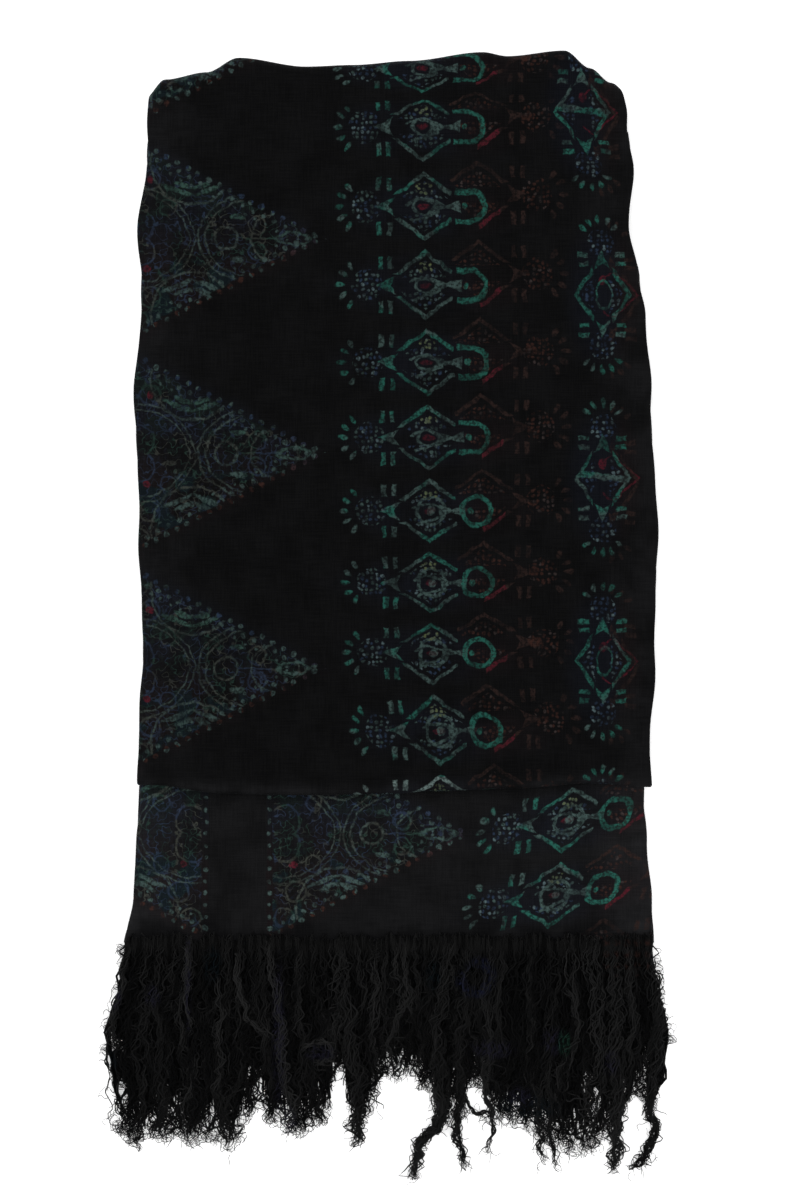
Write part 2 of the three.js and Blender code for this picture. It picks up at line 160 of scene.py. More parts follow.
def heap(x, y, folds):
    """The height of the large soft folds, which end as round as they are wide."""
    height = np.zeros_like(x, float)
    for *line, width, rise in folds:
        along, aside, length = off_line(x, y, *line)
        past = (along - np.clip(along, 0, 1)) * length
        height += rise * np.exp(-(aside**2 + past**2) / width**2)
    return height


def crease(x, y, folds):
    """The height of narrow creases, which bow a little and taper to nothing at both ends."""
    height = np.zeros_like(x, float)
    for *line, width, rise in folds:
        along, aside, length = off_line(x, y, *line)
        bow = 0.07 * length * math.copysign(1, line[0] * rise) * (1 - (2 * along - 1) ** 2)
        taper = smooth(along / 0.35) * smooth((1 - along) / 0.35)
        height += rise * taper * np.exp(-(((aside - bow) / width) ** 2))
    return height


def ripple(x, y):
    """The faint unevenness of cloth smoothed by hand."""
    broad = np.sin(x / 31 + 1.4 * np.sin(y / 47)) * np.sin(y / 39 - 0.9 * np.sin(x / 53))
    fine = np.sin(x / 13 + 2.1 * np.sin(y / 21)) * np.sin(y / 17 + 1.7 * np.sin(x / 29))
    return 0.22 * broad + 0.09 * fine


# %% [markdown]
# ## How a point of the straight pile finds its place
# The pieces are first thought of as a straight, even pile. One function then moves any point of that pile
# to where the hand-folded stole has it: between its wandering side folds, up or down with its uneven
# edges, and up with the soft folds. All layers pass through the same function, so they never cross.

# %% From the straight pile to the laid stole
FLAT_BELOW = 1.4  # what lies lower than this stays flat on the table
WAVER_FROM = 118  # the side folds waver from here outwards
WAVER_STEP = 40
LOWER_STEP = 55  # how far up from the flap's lower fold its rise fades out
HEM_FLAT = 20  # how far up from the hem no soft fold rises
HEM_STEP = 60
SIDE_STEP = 12


def place(x, y, z, sides, creases=(), stray=0.0, lower_edge=0.0):
    """A point's place across, along and up. stray is how far the side folds waver, in millimetres."""
    left = read(sides, y, 1)
    right = read(sides, y, 2)
    side = np.sign(x)
    waver = np.sin(y / 7.3 + side) + 1.3 * np.sin(y / 16.1 - 2 * side)
    across = left + (right - left) * (x / LAID_HALF + 1) / 2
    across = across + stray * smooth((np.abs(x) - WAVER_FROM) / WAVER_STEP) * waver
    slump = smooth((y - TOP_FOLD + TOP_SLUMP) / TOP_SLUMP)
    along = y + slump * read(TOP_EDGE, x / LAID_HALF * TOP_HALF)
    rise = smooth((FLAP_END + 5 + LOWER_STEP - y) / LOWER_STEP) * read(LOWER_EDGE, x)
    along = along + lower_edge * rise
    lifted = np.maximum(z - FLAT_BELOW, 0) / (PILE - FLAT_BELOW)
    ground_tone = smooth((y - HEM - HEM_FLAT) / HEM_STEP)
    height = z + lifted * ground_tone * heap(x, y, SOFT_FOLDS)
    if len(creases):
        inside = smooth((LAID_HALF - np.abs(x)) / SIDE_STEP)
        height = height + lifted * inside * (crease(x, y, creases) + ripple(x, y))
    return across, along, height


# %% [markdown]
# ## A stretch of folded cloth
# Each stretch of the stole is one sheet that turns round a fold at both of its sides. It starts as a flat
# grid. Across, the grid follows a section: a lip, round the side fold, over the face, round the other
# fold, and a lip again. Along, it follows a path, which may turn round a fold too. The grid's columns lie
# close together where the cloth bends. The Solidify modifier then gives the sheet its thin wall.

# %% The section across a page
CLOTH = 0.45  # thickness of the cloth itself
NOSE_TURNS = 9
LIP_COLUMNS = 4


def length_along(points):
    """How far along its line each point lies. Several lines can come at once."""
    steps = np.linalg.norm(np.diff(points, axis=-2), axis=-1)
    return np.concatenate([np.zeros_like(steps[..., :1]), np.cumsum(steps, axis=-1)], axis=-1)


def page_section(columns, half):
    """Points from side to side of a page, outer side: x, depth below the face, length of cloth from the
    middle. The face has the given number of columns, closer together towards the side folds."""
    radius = PAGE / 2
    nose_x = half - radius
    turn = np.linspace(0, math.pi, NOSE_TURNS)
    lip_x = np.linspace(LAID_HALF - SIDE_LIP, nose_x, LIP_COLUMNS, endpoint=False)
    lip = np.stack([lip_x, np.full_like(lip_x, PAGE)], 1)
    nose = np.stack([nose_x + radius * np.sin(turn), radius + radius * np.cos(turn)], 1)
    right = np.concatenate([lip, nose])
    crowding = 1.15
    share = np.linspace(-1, 1, columns + 1)[1:-1]
    face_x = nose_x * np.sin(share * crowding) / math.sin(crowding)
    face = np.stack([face_x, np.zeros_like(face_x)], 1)
    section = np.concatenate([right * [-1, 1], face, right[::-1]])
    length = length_along(section)
    return section[:, 0], section[:, 1], length - length[-1] / 2


# %% The paths along the stole
def straight(from_y, to_y, z, facing, step=2.7):
    """Stations along a flat stretch: y, z, and the way that the cloth's face looks, as y and z."""
    y = np.linspace(from_y, to_y, max(2, round(abs(to_y - from_y) / step) + 1))
    return np.stack([y, np.full_like(y, z), np.zeros_like(y), np.full_like(y, facing)], 1)


def bend(centre_y, centre_z, radius, from_turn, to_turn, steps):
    """Stations round a fold, between its two ends."""
    turn = np.radians(np.linspace(from_turn, to_turn, steps + 1)[1:-1])
    out = np.stack([np.cos(turn), np.sin(turn)], 1)
    return np.concatenate([[centre_y, centre_z] + radius * out, out], 1)


def along_path(path):
    """The length of cloth along a path, counted so that it equals y on the path's own face."""
    length = length_along(path[:, :2])
    facing_up = path[:, 3] > 0.99
    if not facing_up.any():
        return path[0, 0] - length
    first = np.argmax(facing_up)
    return path[first, 0] + length - length[first]


# %% A sheet of cloth from a section and a path
def lay_grid(name, columns, rows):
    """A flat grid, with the column and the row of each of its points."""
    bpy.ops.mesh.primitive_grid_add(x_subdivisions=columns, y_subdivisions=rows, size=2, calc_uvs=True)
    piece = bpy.context.object
    piece.name = name
    piece.data.name = name
    flat = np.zeros(len(piece.data.vertices) * 3, np.float32)
    piece.data.vertices.foreach_get("co", flat)
    flat = flat.reshape(-1, 3)
    column = np.rint((flat[:, 0] + 1) / 2 * columns).astype(int)
    row = np.rint((flat[:, 1] + 1) / 2 * rows).astype(int)
    return piece, column, row


def set_points(piece, across, along, height):
    points = np.stack([across + SHIFT_X, along + SHIFT_Y, height], 1) * MM
    piece.data.vertices.foreach_set("co", points.astype(np.float32).ravel())


def set_print(piece, print_x, print_y):
    """The map called print says where each point would lie if the cloth were smoothed out flat, in
    metres. On the yarns it holds their tone, and how far down the yarn each point lies."""
    corner = np.zeros(len(piece.data.loops), np.int32)
    piece.data.loops.foreach_get("vertex_index", corner)
    spots = np.stack([print_x, print_y], 1)[corner]
    piece.data.uv_layers[0].name = "print"
    piece.data.uv_layers["print"].data.foreach_set("uv", spots.astype(np.float32).ravel())


def set_edge(piece, edge):
    """How near each point is to a fold, from 0 to 1, for the painted sheen that lightens the cloth there.
    """
    worn = piece.data.attributes.new("edge", "FLOAT", "POINT")
    worn.data.foreach_set("value", edge.astype(np.float32))


def make_wall(piece, thickness=CLOTH):
    """Gives a sheet its thickness, inwards from its outer side, and shades it softly."""
    wall = piece.modifiers.new("wall", "SOLIDIFY")
    wall.thickness = thickness * MM
    wall.offset = -1
    bpy.ops.object.modifier_apply(modifier=wall.name)
    bpy.ops.object.shade_smooth_by_angle(angle=math.radians(50))
    bpy.ops.object.select_all(action="DESELECT")
    print(piece.name, "has", len(piece.data.polygons), "faces")


SIDE_SHEEN = 42  # how far from a side fold the painted sheen reaches
LOWER_SHEEN = 7
FAR = 99.0  # further than any painted sheen reaches


def fold_sheet(name, path, sides, columns, half=LAID_HALF, **manner):
    """A sheet of cloth that follows the page section across and a path along. sides is two tables,
    for the upper and the lower half of the pile."""
    x_at, depth_at, length_at = page_section(columns, half)
    piece, column, row = lay_grid(name, len(x_at) - 1, len(path) - 1)
    x = x_at[column]
    depth = depth_at[column]
    y = path[row, 0] - depth * path[row, 2]
    z = path[row, 1] - depth * path[row, 3]
    on_top = path[row, 1] > PILE / 2

    def lay(x):
        """Places points by the side folds of the half of the pile that they lie in."""
        above, below = (place(x, y, z, half_sides, **manner) for half_sides in sides)
        return [np.where(on_top, high, low) for high, low in zip(above, below)]

    across, along, height = lay(x)
    set_points(piece, across, along, height)

    # On the face the print follows the ruler; past the side folds it goes on by the length of cloth
    nose_x = half - PAGE / 2
    turned = depth > 0
    face_x = np.where(turned, np.sign(x) * nose_x, x)
    past_nose = np.where(turned, np.sign(x) * (np.abs(length_at[column]) - nose_x), 0)
    length = along_path(path)
    set_print(piece, (lay(face_x)[0] + past_nose) * MM, (length[row] + along - y) * MM)

    # The side folds and the lower fold get a painted sheen: the cloth is painted lighter near them
    lower_fold = (np.abs(path[:, 3]) < 0.99) & (path[:, 0] < 0)
    from_fold = np.full(len(path), FAR)
    if lower_fold.any():
        from_fold = np.abs(length[:, None] - length[lower_fold][None, :]).min(axis=1)
    beside = 0.7 * smooth((np.abs(x) - half + SIDE_SHEEN) / SIDE_SHEEN)
    set_edge(piece, np.maximum(beside, smooth(1 - from_fold / LOWER_SHEEN)[row]))
    make_wall(piece)
    return piece


# %% [markdown]
# ## The four stretches that show
# The flap is one sheet: from a lip under its lower fold, up over the face, round the top fold and a little
# way along the underside. The hem stretch comes out from under it. The back stretch lies on the table.
# Between them the hidden layers show only as side folds, so they are one sheet too, folded like the
# flap but a little narrower.

# %% Flap
FLAP_BOTTOM = FLAP_END + FLAP_RADIUS
FLAP_TOP = TOP_FOLD - TOP_RADIUS
flap_path = np.concatenate([
    straight(FLAP_END + FLAP_LIP, FLAP_BOTTOM, 2 * PITCH, -1),
    bend(FLAP_BOTTOM, 2 * PITCH + FLAP_RADIUS, FLAP_RADIUS, 270, 90, 10),
    straight(FLAP_BOTTOM, FLAP_TOP, PILE, 1, step=3.4),
    bend(FLAP_TOP, TOP_RADIUS, TOP_RADIUS, 90, -90, 14),
    straight(FLAP_TOP, TOP_FOLD - TOP_LIP, 0, -1),
])
flap = fold_sheet(
    "front_flap_cloth", flap_path, (FLAP_SIDES, FLAP_SIDES), 130,
    creases=FLAP_CREASES, stray=0.35, lower_edge=1.0,
)

# %% Hem stretch and back stretch
hem_path = straight(HEM, FLAP_END + HEM_TUCK, PITCH + PAGE, 1)
hem = fold_sheet(
    "hem_stretch_cloth", hem_path, (UNDER_SIDES, UNDER_SIDES), 130, creases=HEM_CREASES, stray=0.3,
)
back_path = straight(TOP_FOLD - TOP_LIP - 0.3, HEM, 0, -1, step=4.5)
back = fold_sheet("back_stretch_cloth", back_path, (UNDER_SIDES, UNDER_SIDES), 90, stray=-0.3)

# %% Hidden layers
INSET = 1.6  # how far the side folds of the hidden pages stay inside the flap's
inner_path = np.concatenate([
    straight(FLAP_END + FLAP_LIP + 0.6, FLAP_TOP, 2 * PITCH + PAGE, 1, step=8),
    bend(FLAP_TOP, TOP_RADIUS, FLAP_RADIUS, 90, -90, 8),
    straight(FLAP_TOP, FLAP_END + HEM_TUCK + 0.6, PITCH, -1, step=8),
])
inner = fold_sheet(
    "inner_layers_cloth", inner_path, (FLAP_SIDES, UNDER_SIDES), 40, half=LAID_HALF - INSET, stray=0.3,
)

# %% [markdown]
# ## The cut edges at the hem
# The front hem is the cut end of two pages, so four layers of cloth lie on each other there. The outer two
# are the hem stretch and the back stretch. The two between them are plain strips, a little shorter.

# %% Strips between the hem stretch and the back stretch
STRIP_HALF = LAID_HALF - SIDE_LIP - 2
STRIP_REACH = 40


def hem_strip(name, z, start):
    columns = 90
    rows = 14
    piece, column, row = lay_grid(name, columns, rows)
    x = (2 * column / columns - 1) * STRIP_HALF
    y = HEM + start + row / rows * STRIP_REACH
    across, along, height = place(x, y, np.full_like(x, z), UNDER_SIDES)
    wave = 0.25 * np.sin(across / 9 + z) * smooth((HEM + 12 - y) / 12)
    set_points(piece, across, along + 0.8 * np.sin(across / 14 + 2 * z), height + wave)
    set_print(piece, across * MM, along * MM)
    make_wall(piece)
    return piece


upper_strip = hem_strip("hem_layer_upper_cloth", PITCH + 0.9, 1.2)
lower_strip = hem_strip("hem_layer_lower_cloth", PAGE - 0.5, 2.0)

# %% [markdown]
# ## The yarn fringe
# The fringe is the cloth's own long threads, set free where the cross threads were pulled out. Worn and
# washed, they have matted into one dark mass with a ragged edge, a few holes and some twisted locks that
# reach further. A particle system could grow hairs, but they are hard to lead into those holes and locks.
# So a straight yarn is modelled, and each copy is bent along a line of its own. There are four kinds of
# line: yarns that hang, yarns that curl through the mass, yarns that follow a strand, and short hairs.

# %% One straight yarn
YARN_SIDES = 3


def straight_yarn(segments):
    """A closed three-sided yarn, one unit long and of radius one, cut across into segments."""
    bpy.ops.mesh.primitive_cylinder_add(vertices=YARN_SIDES, radius=1, depth=1, location=(0, 0, 0.5))
    bpy.ops.object.transform_apply(location=True)
    yarn = bpy.context.object
    bpy.ops.object.mode_set(mode="EDIT")
    for cut in range(1, segments):
        bpy.ops.mesh.select_all(action="SELECT")
        bpy.ops.mesh.bisect(plane_co=(0, 0, cut / segments), plane_no=(0, 0, 1))
    bpy.ops.object.mode_set(mode="OBJECT")
    points = np.array([vertex.co[:] for vertex in yarn.data.vertices])
    faces = [tuple(polygon.vertices) for polygon in yarn.data.polygons]
    mesh = yarn.data
    bpy.data.objects.remove(yarn)
    bpy.data.meshes.remove(mesh)
    return points, faces


LONG_STATIONS = 24
SHORT_STATIONS = 9
long_yarn = straight_yarn(LONG_STATIONS - 1)
short_yarn = straight_yarn(SHORT_STATIONS - 1)
print("a long yarn has", len(long_yarn[1]), "faces and a short one", len(short_yarn[1]))

# %% Where the mass of the fringe ends, and where it lies open
HEM_LEFT = float(read(UNDER_SIDES, HEM, 1))
HEM_RIGHT = float(read(UNDER_SIDES, HEM, 2))

# Across, and how far down from the hem the mass reaches there
FRINGE_REACH = [
    (-174, 62), (-171, 112), (-165, 116), (-158.5, 123), (-152, 118), (-148, 131), (-144.5, 116),
    (-137.5, 126), (-130, 115), (-118, 128), (-111.5, 119), (-99, 129), (-92, 124), (-85.5, 108),
    (-78.5, 98), (-73, 113), (-65, 112), (-53, 121), (-46, 114), (-39, 110), (-33.5, 103), (-31, 86),
    (-28.5, 75), (-25.5, 75), (-23.5, 100), (-20, 122), (-11, 108), (-7.5, 102), (-5.5, 87), (-2, 83),
    (20.5, 83), (25, 87), (28.5, 98), (31, 116), (38, 114), (41, 94), (43, 88), (44.5, 104), (49, 106),
    (51, 96), (53, 85), (62, 86), (65, 110), (77, 110), (87, 113), (95, 118), (102, 121), (110, 126),
    (116, 131), (127, 128), (135, 126), (137.5, 110), (140, 126), (146, 128), (149, 104), (154, 89),
    (160, 94), (163, 118), (166, 118), (168, 104), (171, 84), (176, 58),
]
# How far both sides swell: down, left, right
FLARE = [(0, 0, 0), (30, -4, 1), (45, -9, 7), (56, -11, 9), (80, -9, 6), (105, -8, -2), (140, -9, -3)]
# Holes in the mass, some made of two that meet: across, down, half width, half height
HOLES = [
    (-165.5, 61, 3.4, 6), (-164, 68, 2.6, 4), (-162.5, 91, 4, 6), (-161, 99, 3.2, 6), (2, 72, 2, 6),
    (3.5, 80, 1.8, 4), (57, 88, 5, 5.5), (61, 96, 5.4, 6), (126, 87, 5, 7), (130, 99, 5, 10),
    (-84, 80, 1.4, 4), (149, 90, 1.8, 10),
]
FRINGE_HEIGHT = 4.6
print("the mass reaches down", max(down for _, down in FRINGE_REACH), "mm at most")


def swell(x, down):
    """How far a yarn lies aside of its root: the sides swell, and slow waves run through them all."""
    flare = np.where(x < 0, read(FLARE, down, 1), read(FLARE, down, 2)) * np.abs(x / LAID_HALF) ** 3
    roll = 1.4 * np.sin(down / 13 + x / 24) + 1.8 * np.sin(down / 37 - x / 29)
    return flare + smooth(down / 45) * roll


def bed(across, down):
    """The height of the mass, which thins out towards its ends."""
    to_end = read(FRINGE_REACH, across) - down
    return 0.7 + (FRINGE_HEIGHT - 0.7) * smooth((to_end + 4) / 42)


def part(across, down):
    """Moves yarns out of the holes, each to the side on which most of it lies."""
    for x, middle, half_width, half_height in HOLES:
        inside = np.clip(1 - ((down - middle) / half_height) ** 2, 0, None)
        side = np.sign(across.mean(axis=1, keepdims=True) - x)
        pushed = x + side * np.maximum(side * (across - x), half_width * np.sqrt(inside))
        across = np.where(inside > 0, pushed, across)
    return across


# %% Yarns that hang from the hem
chance = np.random.default_rng(42)
FULL_TURN = 6.283
NEAR_ENDS = 100.0  # how far down from the hem most yarns are near their ends
UPPER_START = 6.3  # the height at which the upper yarns leave the hem


def draw(count):
    """One random number from 0 to 1 for each yarn, as a column."""
    return chance.random((count, 1))


def waves(count, at, kinds):
    """Sums of waves along yarns, every yarn with its own luck: for each kind its length and its size."""
    total = 0
    for wave, size in kinds:
        stretch = wave * (0.7 + 0.6 * draw(count))
        total = total + size * np.sin(FULL_TURN * (at / stretch + draw(count)))
    return total


def settle(down, height, start):
    """Yarns leave the hem at the height of their layer and come down to their place within a few turns."""
    share = smooth((down + 1) / 17)
    return start * (1 - share) + height * share


def hanging_yarns(count, share, start, level, gathered):
    """share of the reach, height at the hem, level in the mass, how far its yarns gather. Gives across,
    down, up and tone."""
    root = np.arange(count)[:, None] + 0.2 + 0.6 * draw(count)
    root = HEM_LEFT + 0.5 + (HEM_RIGHT - HEM_LEFT - 1) * root / count
    length = read(FRINGE_REACH, root + swell(root, NEAR_ENDS)) * share * (1 - 0.14 * draw(count))
    frayed = 1 + 1.8 * (1 + np.sin(root / 6.1 + 2 * np.sin(root / 17))) + 3 * draw(count) ** 2
    down = length * np.linspace(0, 1, LONG_STATIONS) - frayed
    gather = gathered * (0.5 * np.sin(root / 1.9) + 1.4 * np.sin(root / 4.7 + down / 31))
    stray = waves(count, down, ((29, 0.9), (13, 0.7), (6, 0.4))) * (0.1 + 0.9 * gathered)
    across = part(root + swell(root, down) + smooth((down + 4) / 20) * (gather + stray), down)
    up = settle(down, bed(across, down) * level * (0.65 + 0.35 * draw(count)), start)
    return across, down, up, 0.22 * chance.random(count)


# %% Yarns that curl through the mass, and hairs
def curl(x, down, length, swing, stations):
    """Lines that wander from a place: their heading swings to and fro as they go."""
    count = len(x)
    travelled = np.linspace(0, 1, stations) * length
    heading = 0.45 * swing * chance.standard_normal((count, 1))
    heading = heading + waves(count, travelled, ((40, swing), (17, 0.8 * swing), (7.5, 0.4 * swing)))
    step = length / (stations - 1)
    return x + np.cumsum(np.sin(heading), axis=1) * step, down + np.cumsum(np.cos(heading), axis=1) * step


def keep_inside(across, down, poke):
    """Shifts whole lines so that none leaves the mass by more than poke."""
    over = (down - read(FRINGE_REACH, across)).max(axis=1, keepdims=True) - poke
    down = down - np.maximum(over, 0)
    left = (HEM_LEFT + swell(HEM_LEFT, down) - across).max(axis=1, keepdims=True)
    right = (across - HEM_RIGHT - swell(HEM_RIGHT, down)).max(axis=1, keepdims=True)
    return across + np.maximum(left - poke, 0) - np.maximum(right - poke, 0), down


def matted_yarns(from_x, to_x, count):
    x = from_x + (to_x - from_x) * draw(count)
    down = read(FRINGE_REACH, x) * (0.04 + 0.84 * draw(count) ** 0.8)
    length = 30 + 26 * draw(count)
    across, down = keep_inside(*curl(x, down, length, 0.95, LONG_STATIONS), 0.5)
    across = part(across, down)
    up = bed(across, down) * (0.6 + 0.6 * draw(count)) + waves(count, down, ((30, 0.5),))
    return across, down, up, 0.75 * chance.random(count) ** 1.5


def edge_hairs(count):
    """Hairs along the mass's lower edge, down both its sides and across its holes."""
    x = HEM_LEFT - 8 + (HEM_RIGHT - HEM_LEFT + 18) * draw(count)
    down = read(FRINGE_REACH, x) - 13 * draw(count)
    beside = draw(count) < 0.3
    down = np.where(beside, 112 * draw(count), down)
    x = np.where(beside, np.where(x < 0, HEM_LEFT, HEM_RIGHT) + swell(x, down), x)
    holes = np.array(HOLES)[(len(HOLES) * chance.random(count)).astype(int)]
    turn = FULL_TURN * draw(count)
    by_hole = draw(count) < 0.1
    x = np.where(by_hole, holes[:, :1] + (holes[:, 2:3] + 1) * np.cos(turn), x)
    down = np.where(by_hole, holes[:, 1:2] + (holes[:, 3:] + 1) * np.sin(turn) - 2, down)
    across, down = keep_inside(*curl(x, down, 7 + 10 * draw(count), 1.25, SHORT_STATIONS), 5)
    return across, down, 0.5 + 1.6 * draw(count) + 0 * down, 0.7 * chance.random(count)


# %% Strands: many short yarns that follow one another down a line
def curve_through(places, count):
    """A smooth line through the places, as count points."""
    given = np.array(places, float)
    ends = np.concatenate([[2 * given[0] - given[1]], given, [2 * given[-1] - given[-2]]])
    at = np.linspace(0, len(given) - 1, count)
    low = np.minimum(at.astype(int), len(given) - 2)
    share = (at - low)[:, None]
    before, here, there, after = (ends[low + step] for step in range(4))
    bow = 2 * before - 5 * here + 4 * there - after
    tail = 3 * (here - there) + after - before
    return here + 0.5 * share * (there - before + share * (bow + share * tail))


def strand_yarns(half_width, count, tone_and_sheen, places, lift=1.0):
    """The yarns of a strand. It is as wide as half_width says, thins towards its end and frays there."""
    line = curve_through(places, 120)
    run = np.gradient(line, axis=0)
    run /= np.linalg.norm(run, axis=1, keepdims=True)
    travelled = length_along(line)
    whole = travelled[-1]
    length = np.minimum(whole, 34 + 34 * draw(count))
    start = (whole - length) * np.clip((1.35 + 0.35 * lift) * draw(count) - 0.2, 0, 1)
    cut = np.where(draw(count) < 0.6, 1 - 0.14 * draw(count), 1)
    at = start + length * cut * np.linspace(0, 1, LONG_STATIONS)
    run_x, run_down, line_x, line_down = (
        np.stack([np.interp(row, travelled, values) for row in at]) for values in (*run.T, *line.T)
    )
    share = at / whole
    taper = (0.7 - 0.4 * lift) * smooth((share - 0.45) / 0.55)
    out = half_width * np.sqrt(draw(count)) * (1 - taper)
    turn = FULL_TURN * (at / (48 + 60 * draw(count)) + draw(count))
    frayed = 0.9 + 0.2 * half_width + 0.9 * smooth((share - 0.82) / 0.18)
    frayed = frayed * np.where(draw(count) < 0.16, 2.4, 1)
    beside = out * np.cos(turn) + frayed * waves(count, at, ((23, 0.55), (11, 0.6), (6.5, 0.3)))
    beside = beside + waves(1, at, ((41, 1.1), (19, 0.9), (10, 0.4))) * smooth(at / 20)
    across = line_x + beside * run_down
    down = line_down - beside * run_x
    rise = smooth(share / 0.15) * (1 - 0.8 * smooth((share - 0.7) / 0.3))
    height = bed(across, down) * (0.75 + 0.25 * lift) + lift * rise * (0.4 + 0.6 * half_width)
    up = settle(down, height + (0.3 + 0.6 * out) * np.sin(turn), UPPER_START)
    # The yarns' tone: their own, and on the raised locks also painted sheen
    return across, down, up, 0.8 * tone_and_sheen + 0.3 * chance.random(count)


def strand_hairs(strands, count):
    """Hairs that stand off the lower half of every strand, count of them on each."""
    kinds = []
    for half_width, _, tone_and_sheen, places in strands:
        line = curve_through(places, 60)
        at = 25 + (35 * chance.random(count)).astype(int)
        x = line[at, :1] + half_width * (draw(count) - 0.5)
        length = 4 + 8 * draw(count)
        across, down = curl(x, line[at, 1:], length, 1.2, SHORT_STATIONS)
        up = 0.4 + 1.4 * draw(count) + 0 * down
        kinds.append((across, down, up, np.full(count, 0.5 * tone_and_sheen)))
    return joined(kinds)


# %% The strands that make up the mass, side by side
STRANDS = 88


def mass_strands():
    """Half width, number of yarns, tone_and_sheen and places of each strand of the mass."""
    strands = []
    for number in range(STRANDS):
        luck = chance.random(6)
        root = HEM_LEFT + 2 + (HEM_RIGHT - HEM_LEFT - 4) * (number + luck[0]) / STRANDS
        reach = float(read(FRINGE_REACH, root + swell(root, NEAR_ENDS))) + 5 * luck[1] - 3
        down = np.linspace(-2 - 5 * luck[2], reach, 9)
        aside = 2.8 * np.sin(down / 17 + FULL_TURN * luck[2]) + 2.2 * np.sin(down / 8 + FULL_TURN * luck[3])
        across = part((root + swell(root, down) + smooth(down / 30) * aside)[None, :], down[None, :])[0]
        light = (0.0, 0.12, 0.05, 0.35, 0.2, 0.7, 0.05, 0.4)[int(8 * luck[4])]
        strands.append((1.3 + 2.3 * luck[5] ** 1.4, 17 + int(11 * luck[5]), light, list(zip(across, down))))
    return strands


# %% Locks that stand out, listed one by one
# Half width, number of yarns, tone_and_sheen, and the places that the lock runs through: across, down. The
# tone is partly the yarns' own and partly painted sheen, as the locks lie raised
LOCKS = [
    (0.9, 9, 0.3, [(-158, 2), (-167, 40), (-172, 62), (-171.5, 90), (-171, 117)]),
    (1.6, 14, 0.5, [(-158, 0), (-164, 29), (-168.5, 54), (-166, 76)]),
    (1.8, 18, 0.4, [(-139.5, 0), (-142, 35), (-139.5, 72), (-145.5, 104)]),
    (1.3, 12, 1.0, [(-123, -3), (-123, 29), (-121.5, 58)]),
    (1.7, 16, 0.6, [(-105, 20), (-102, 48), (-103, 79), (-100, 107)]),
    (1.5, 16, 0.9, [(-92, 6), (-91, 22), (-88, 38), (-82.5, 49), (-72.5, 56), (-66, 74)]),
    (2.8, 40, 1.0, [(-75, -3), (-71, 15), (-66, 33), (-64, 67), (-58.5, 107), (-60, 120)]),
    (1.5, 12, 0.5, [(-52.5, 4), (-54.5, 41), (-50, 66)]),
    (1.3, 10, 1.0, [(-53, 68), (-48, 63), (-40, 62), (-33, 65), (-31, 70), (-36, 75), (-46, 73)]),
    (4.6, 70, 0.5, [(-31, 0), (-26, 33), (-22, 62), (-17, 88), (-17, 112), (-20, 127)]),
    (1.3, 10, 0.4, [(1, 4), (0, 30), (-2, 66)]),
    (1.7, 14, 0.7, [(12.5, -1), (13.5, 26), (16, 50)]),
    (4.0, 84, 0.55, [
        (39, 0), (36, 30), (32.5, 60), (33, 91), (35, 108), (28, 119), (20, 127), (18, 136), (20, 147),
    ]),
    (2.8, 52, 0.4, [(50, 4), (49, 30), (47.5, 55), (45.5, 88), (45, 112), (47, 126), (49.5, 142)]),
    (0.7, 7, 0.3, [(46, 90), (52, 101), (58, 105), (67, 106)]),
    (1.5, 18, 0.6, [(60, 12), (64, 50), (63, 92), (66, 113), (65, 131)]),
    (1.6, 16, 0.5, [(72.5, 0), (71, 41), (75, 79)]),
    (1.6, 16, 0.5, [(88, 0), (90.5, 41), (87, 85)]),
    (1.4, 15, 0.4, [(92, 70), (94, 104), (98, 120), (97, 140)]),
    (1.4, 15, 0.4, [(100, 76), (103, 108), (104, 125), (108, 143)]),
    (1.6, 16, 0.6, [(117, 0), (118.5, 48), (114, 84)]),
    (1.0, 10, 0.2, [(124, 40), (125, 80), (128, 104), (124, 116)]),
    (3.8, 66, 0.6, [(139, 0), (143, 24), (142, 45), (144, 88), (144.5, 116), (140, 144)]),
    (1.8, 18, 0.7, [(150.5, 0), (153, 40), (153, 60), (150, 86)]),
    (2.8, 50, 0.4, [
        (163, 2), (168, 30), (170, 54), (165, 97), (165.5, 120), (163, 131), (157, 138), (152, 142),
    ]),
]


# %% Yarns bent along their lines
YARN_RADIUS = 0.42
FLOOR_GAP = 0.05


def bend_yarns(name, straight, across, down, up, tone, radius=YARN_RADIUS):
    """Copies of a straight yarn, one along each line, joined into one piece."""
    points, faces = straight
    count, stations = across.shape
    lines = np.stack([across + SHIFT_X, HEM - down + SHIFT_Y, np.maximum(up, radius + FLOOR_GAP)], 2)
    tangent = np.gradient(lines, axis=1)
    tangent /= np.linalg.norm(tangent, axis=2, keepdims=True)
    aside = np.cross(tangent, [0.0, 0.0, 1.0])
    aside /= np.linalg.norm(aside, axis=2, keepdims=True)
    over = np.cross(aside, tangent)
    station = np.rint(points[:, 2] * (stations - 1)).astype(int)
    thin = 1 - 0.55 * smooth((points[:, 2] - 0.8) / 0.2)
    girth = radius * (0.75 + 0.5 * chance.random((count, 1, 1))) * thin[None, :, None]
    spread = aside[:, station] * points[None, :, 0:1] + over[:, station] * points[None, :, 1:2]
    bent = (lines[:, station] + girth * spread).reshape(-1, 3) * MM
    size = len(points)
    copies = [tuple(corner + size * copy for corner in face) for copy in range(count) for face in faces]
    mesh = bpy.data.meshes.new(name)
    mesh.from_pydata(bent.tolist(), [], copies)
    piece = bpy.data.objects.new(name, mesh)
    bpy.context.collection.objects.link(piece)
    travelled = length_along(lines)
    mesh.uv_layers.new(name="print")
    set_print(piece, np.repeat(tone, size), travelled[:, station].ravel() * MM)
    mesh.polygons.foreach_set("use_smooth", np.ones(len(mesh.polygons), bool))
    mesh.update()
    print(name, "has", count, "yarns and", sum(len(face) - 2 for face in faces) * count, "triangles")
    return piece


def joined(kinds):
    """Several sets of lines as one."""
    return [np.concatenate(values) for values in zip(*kinds)]


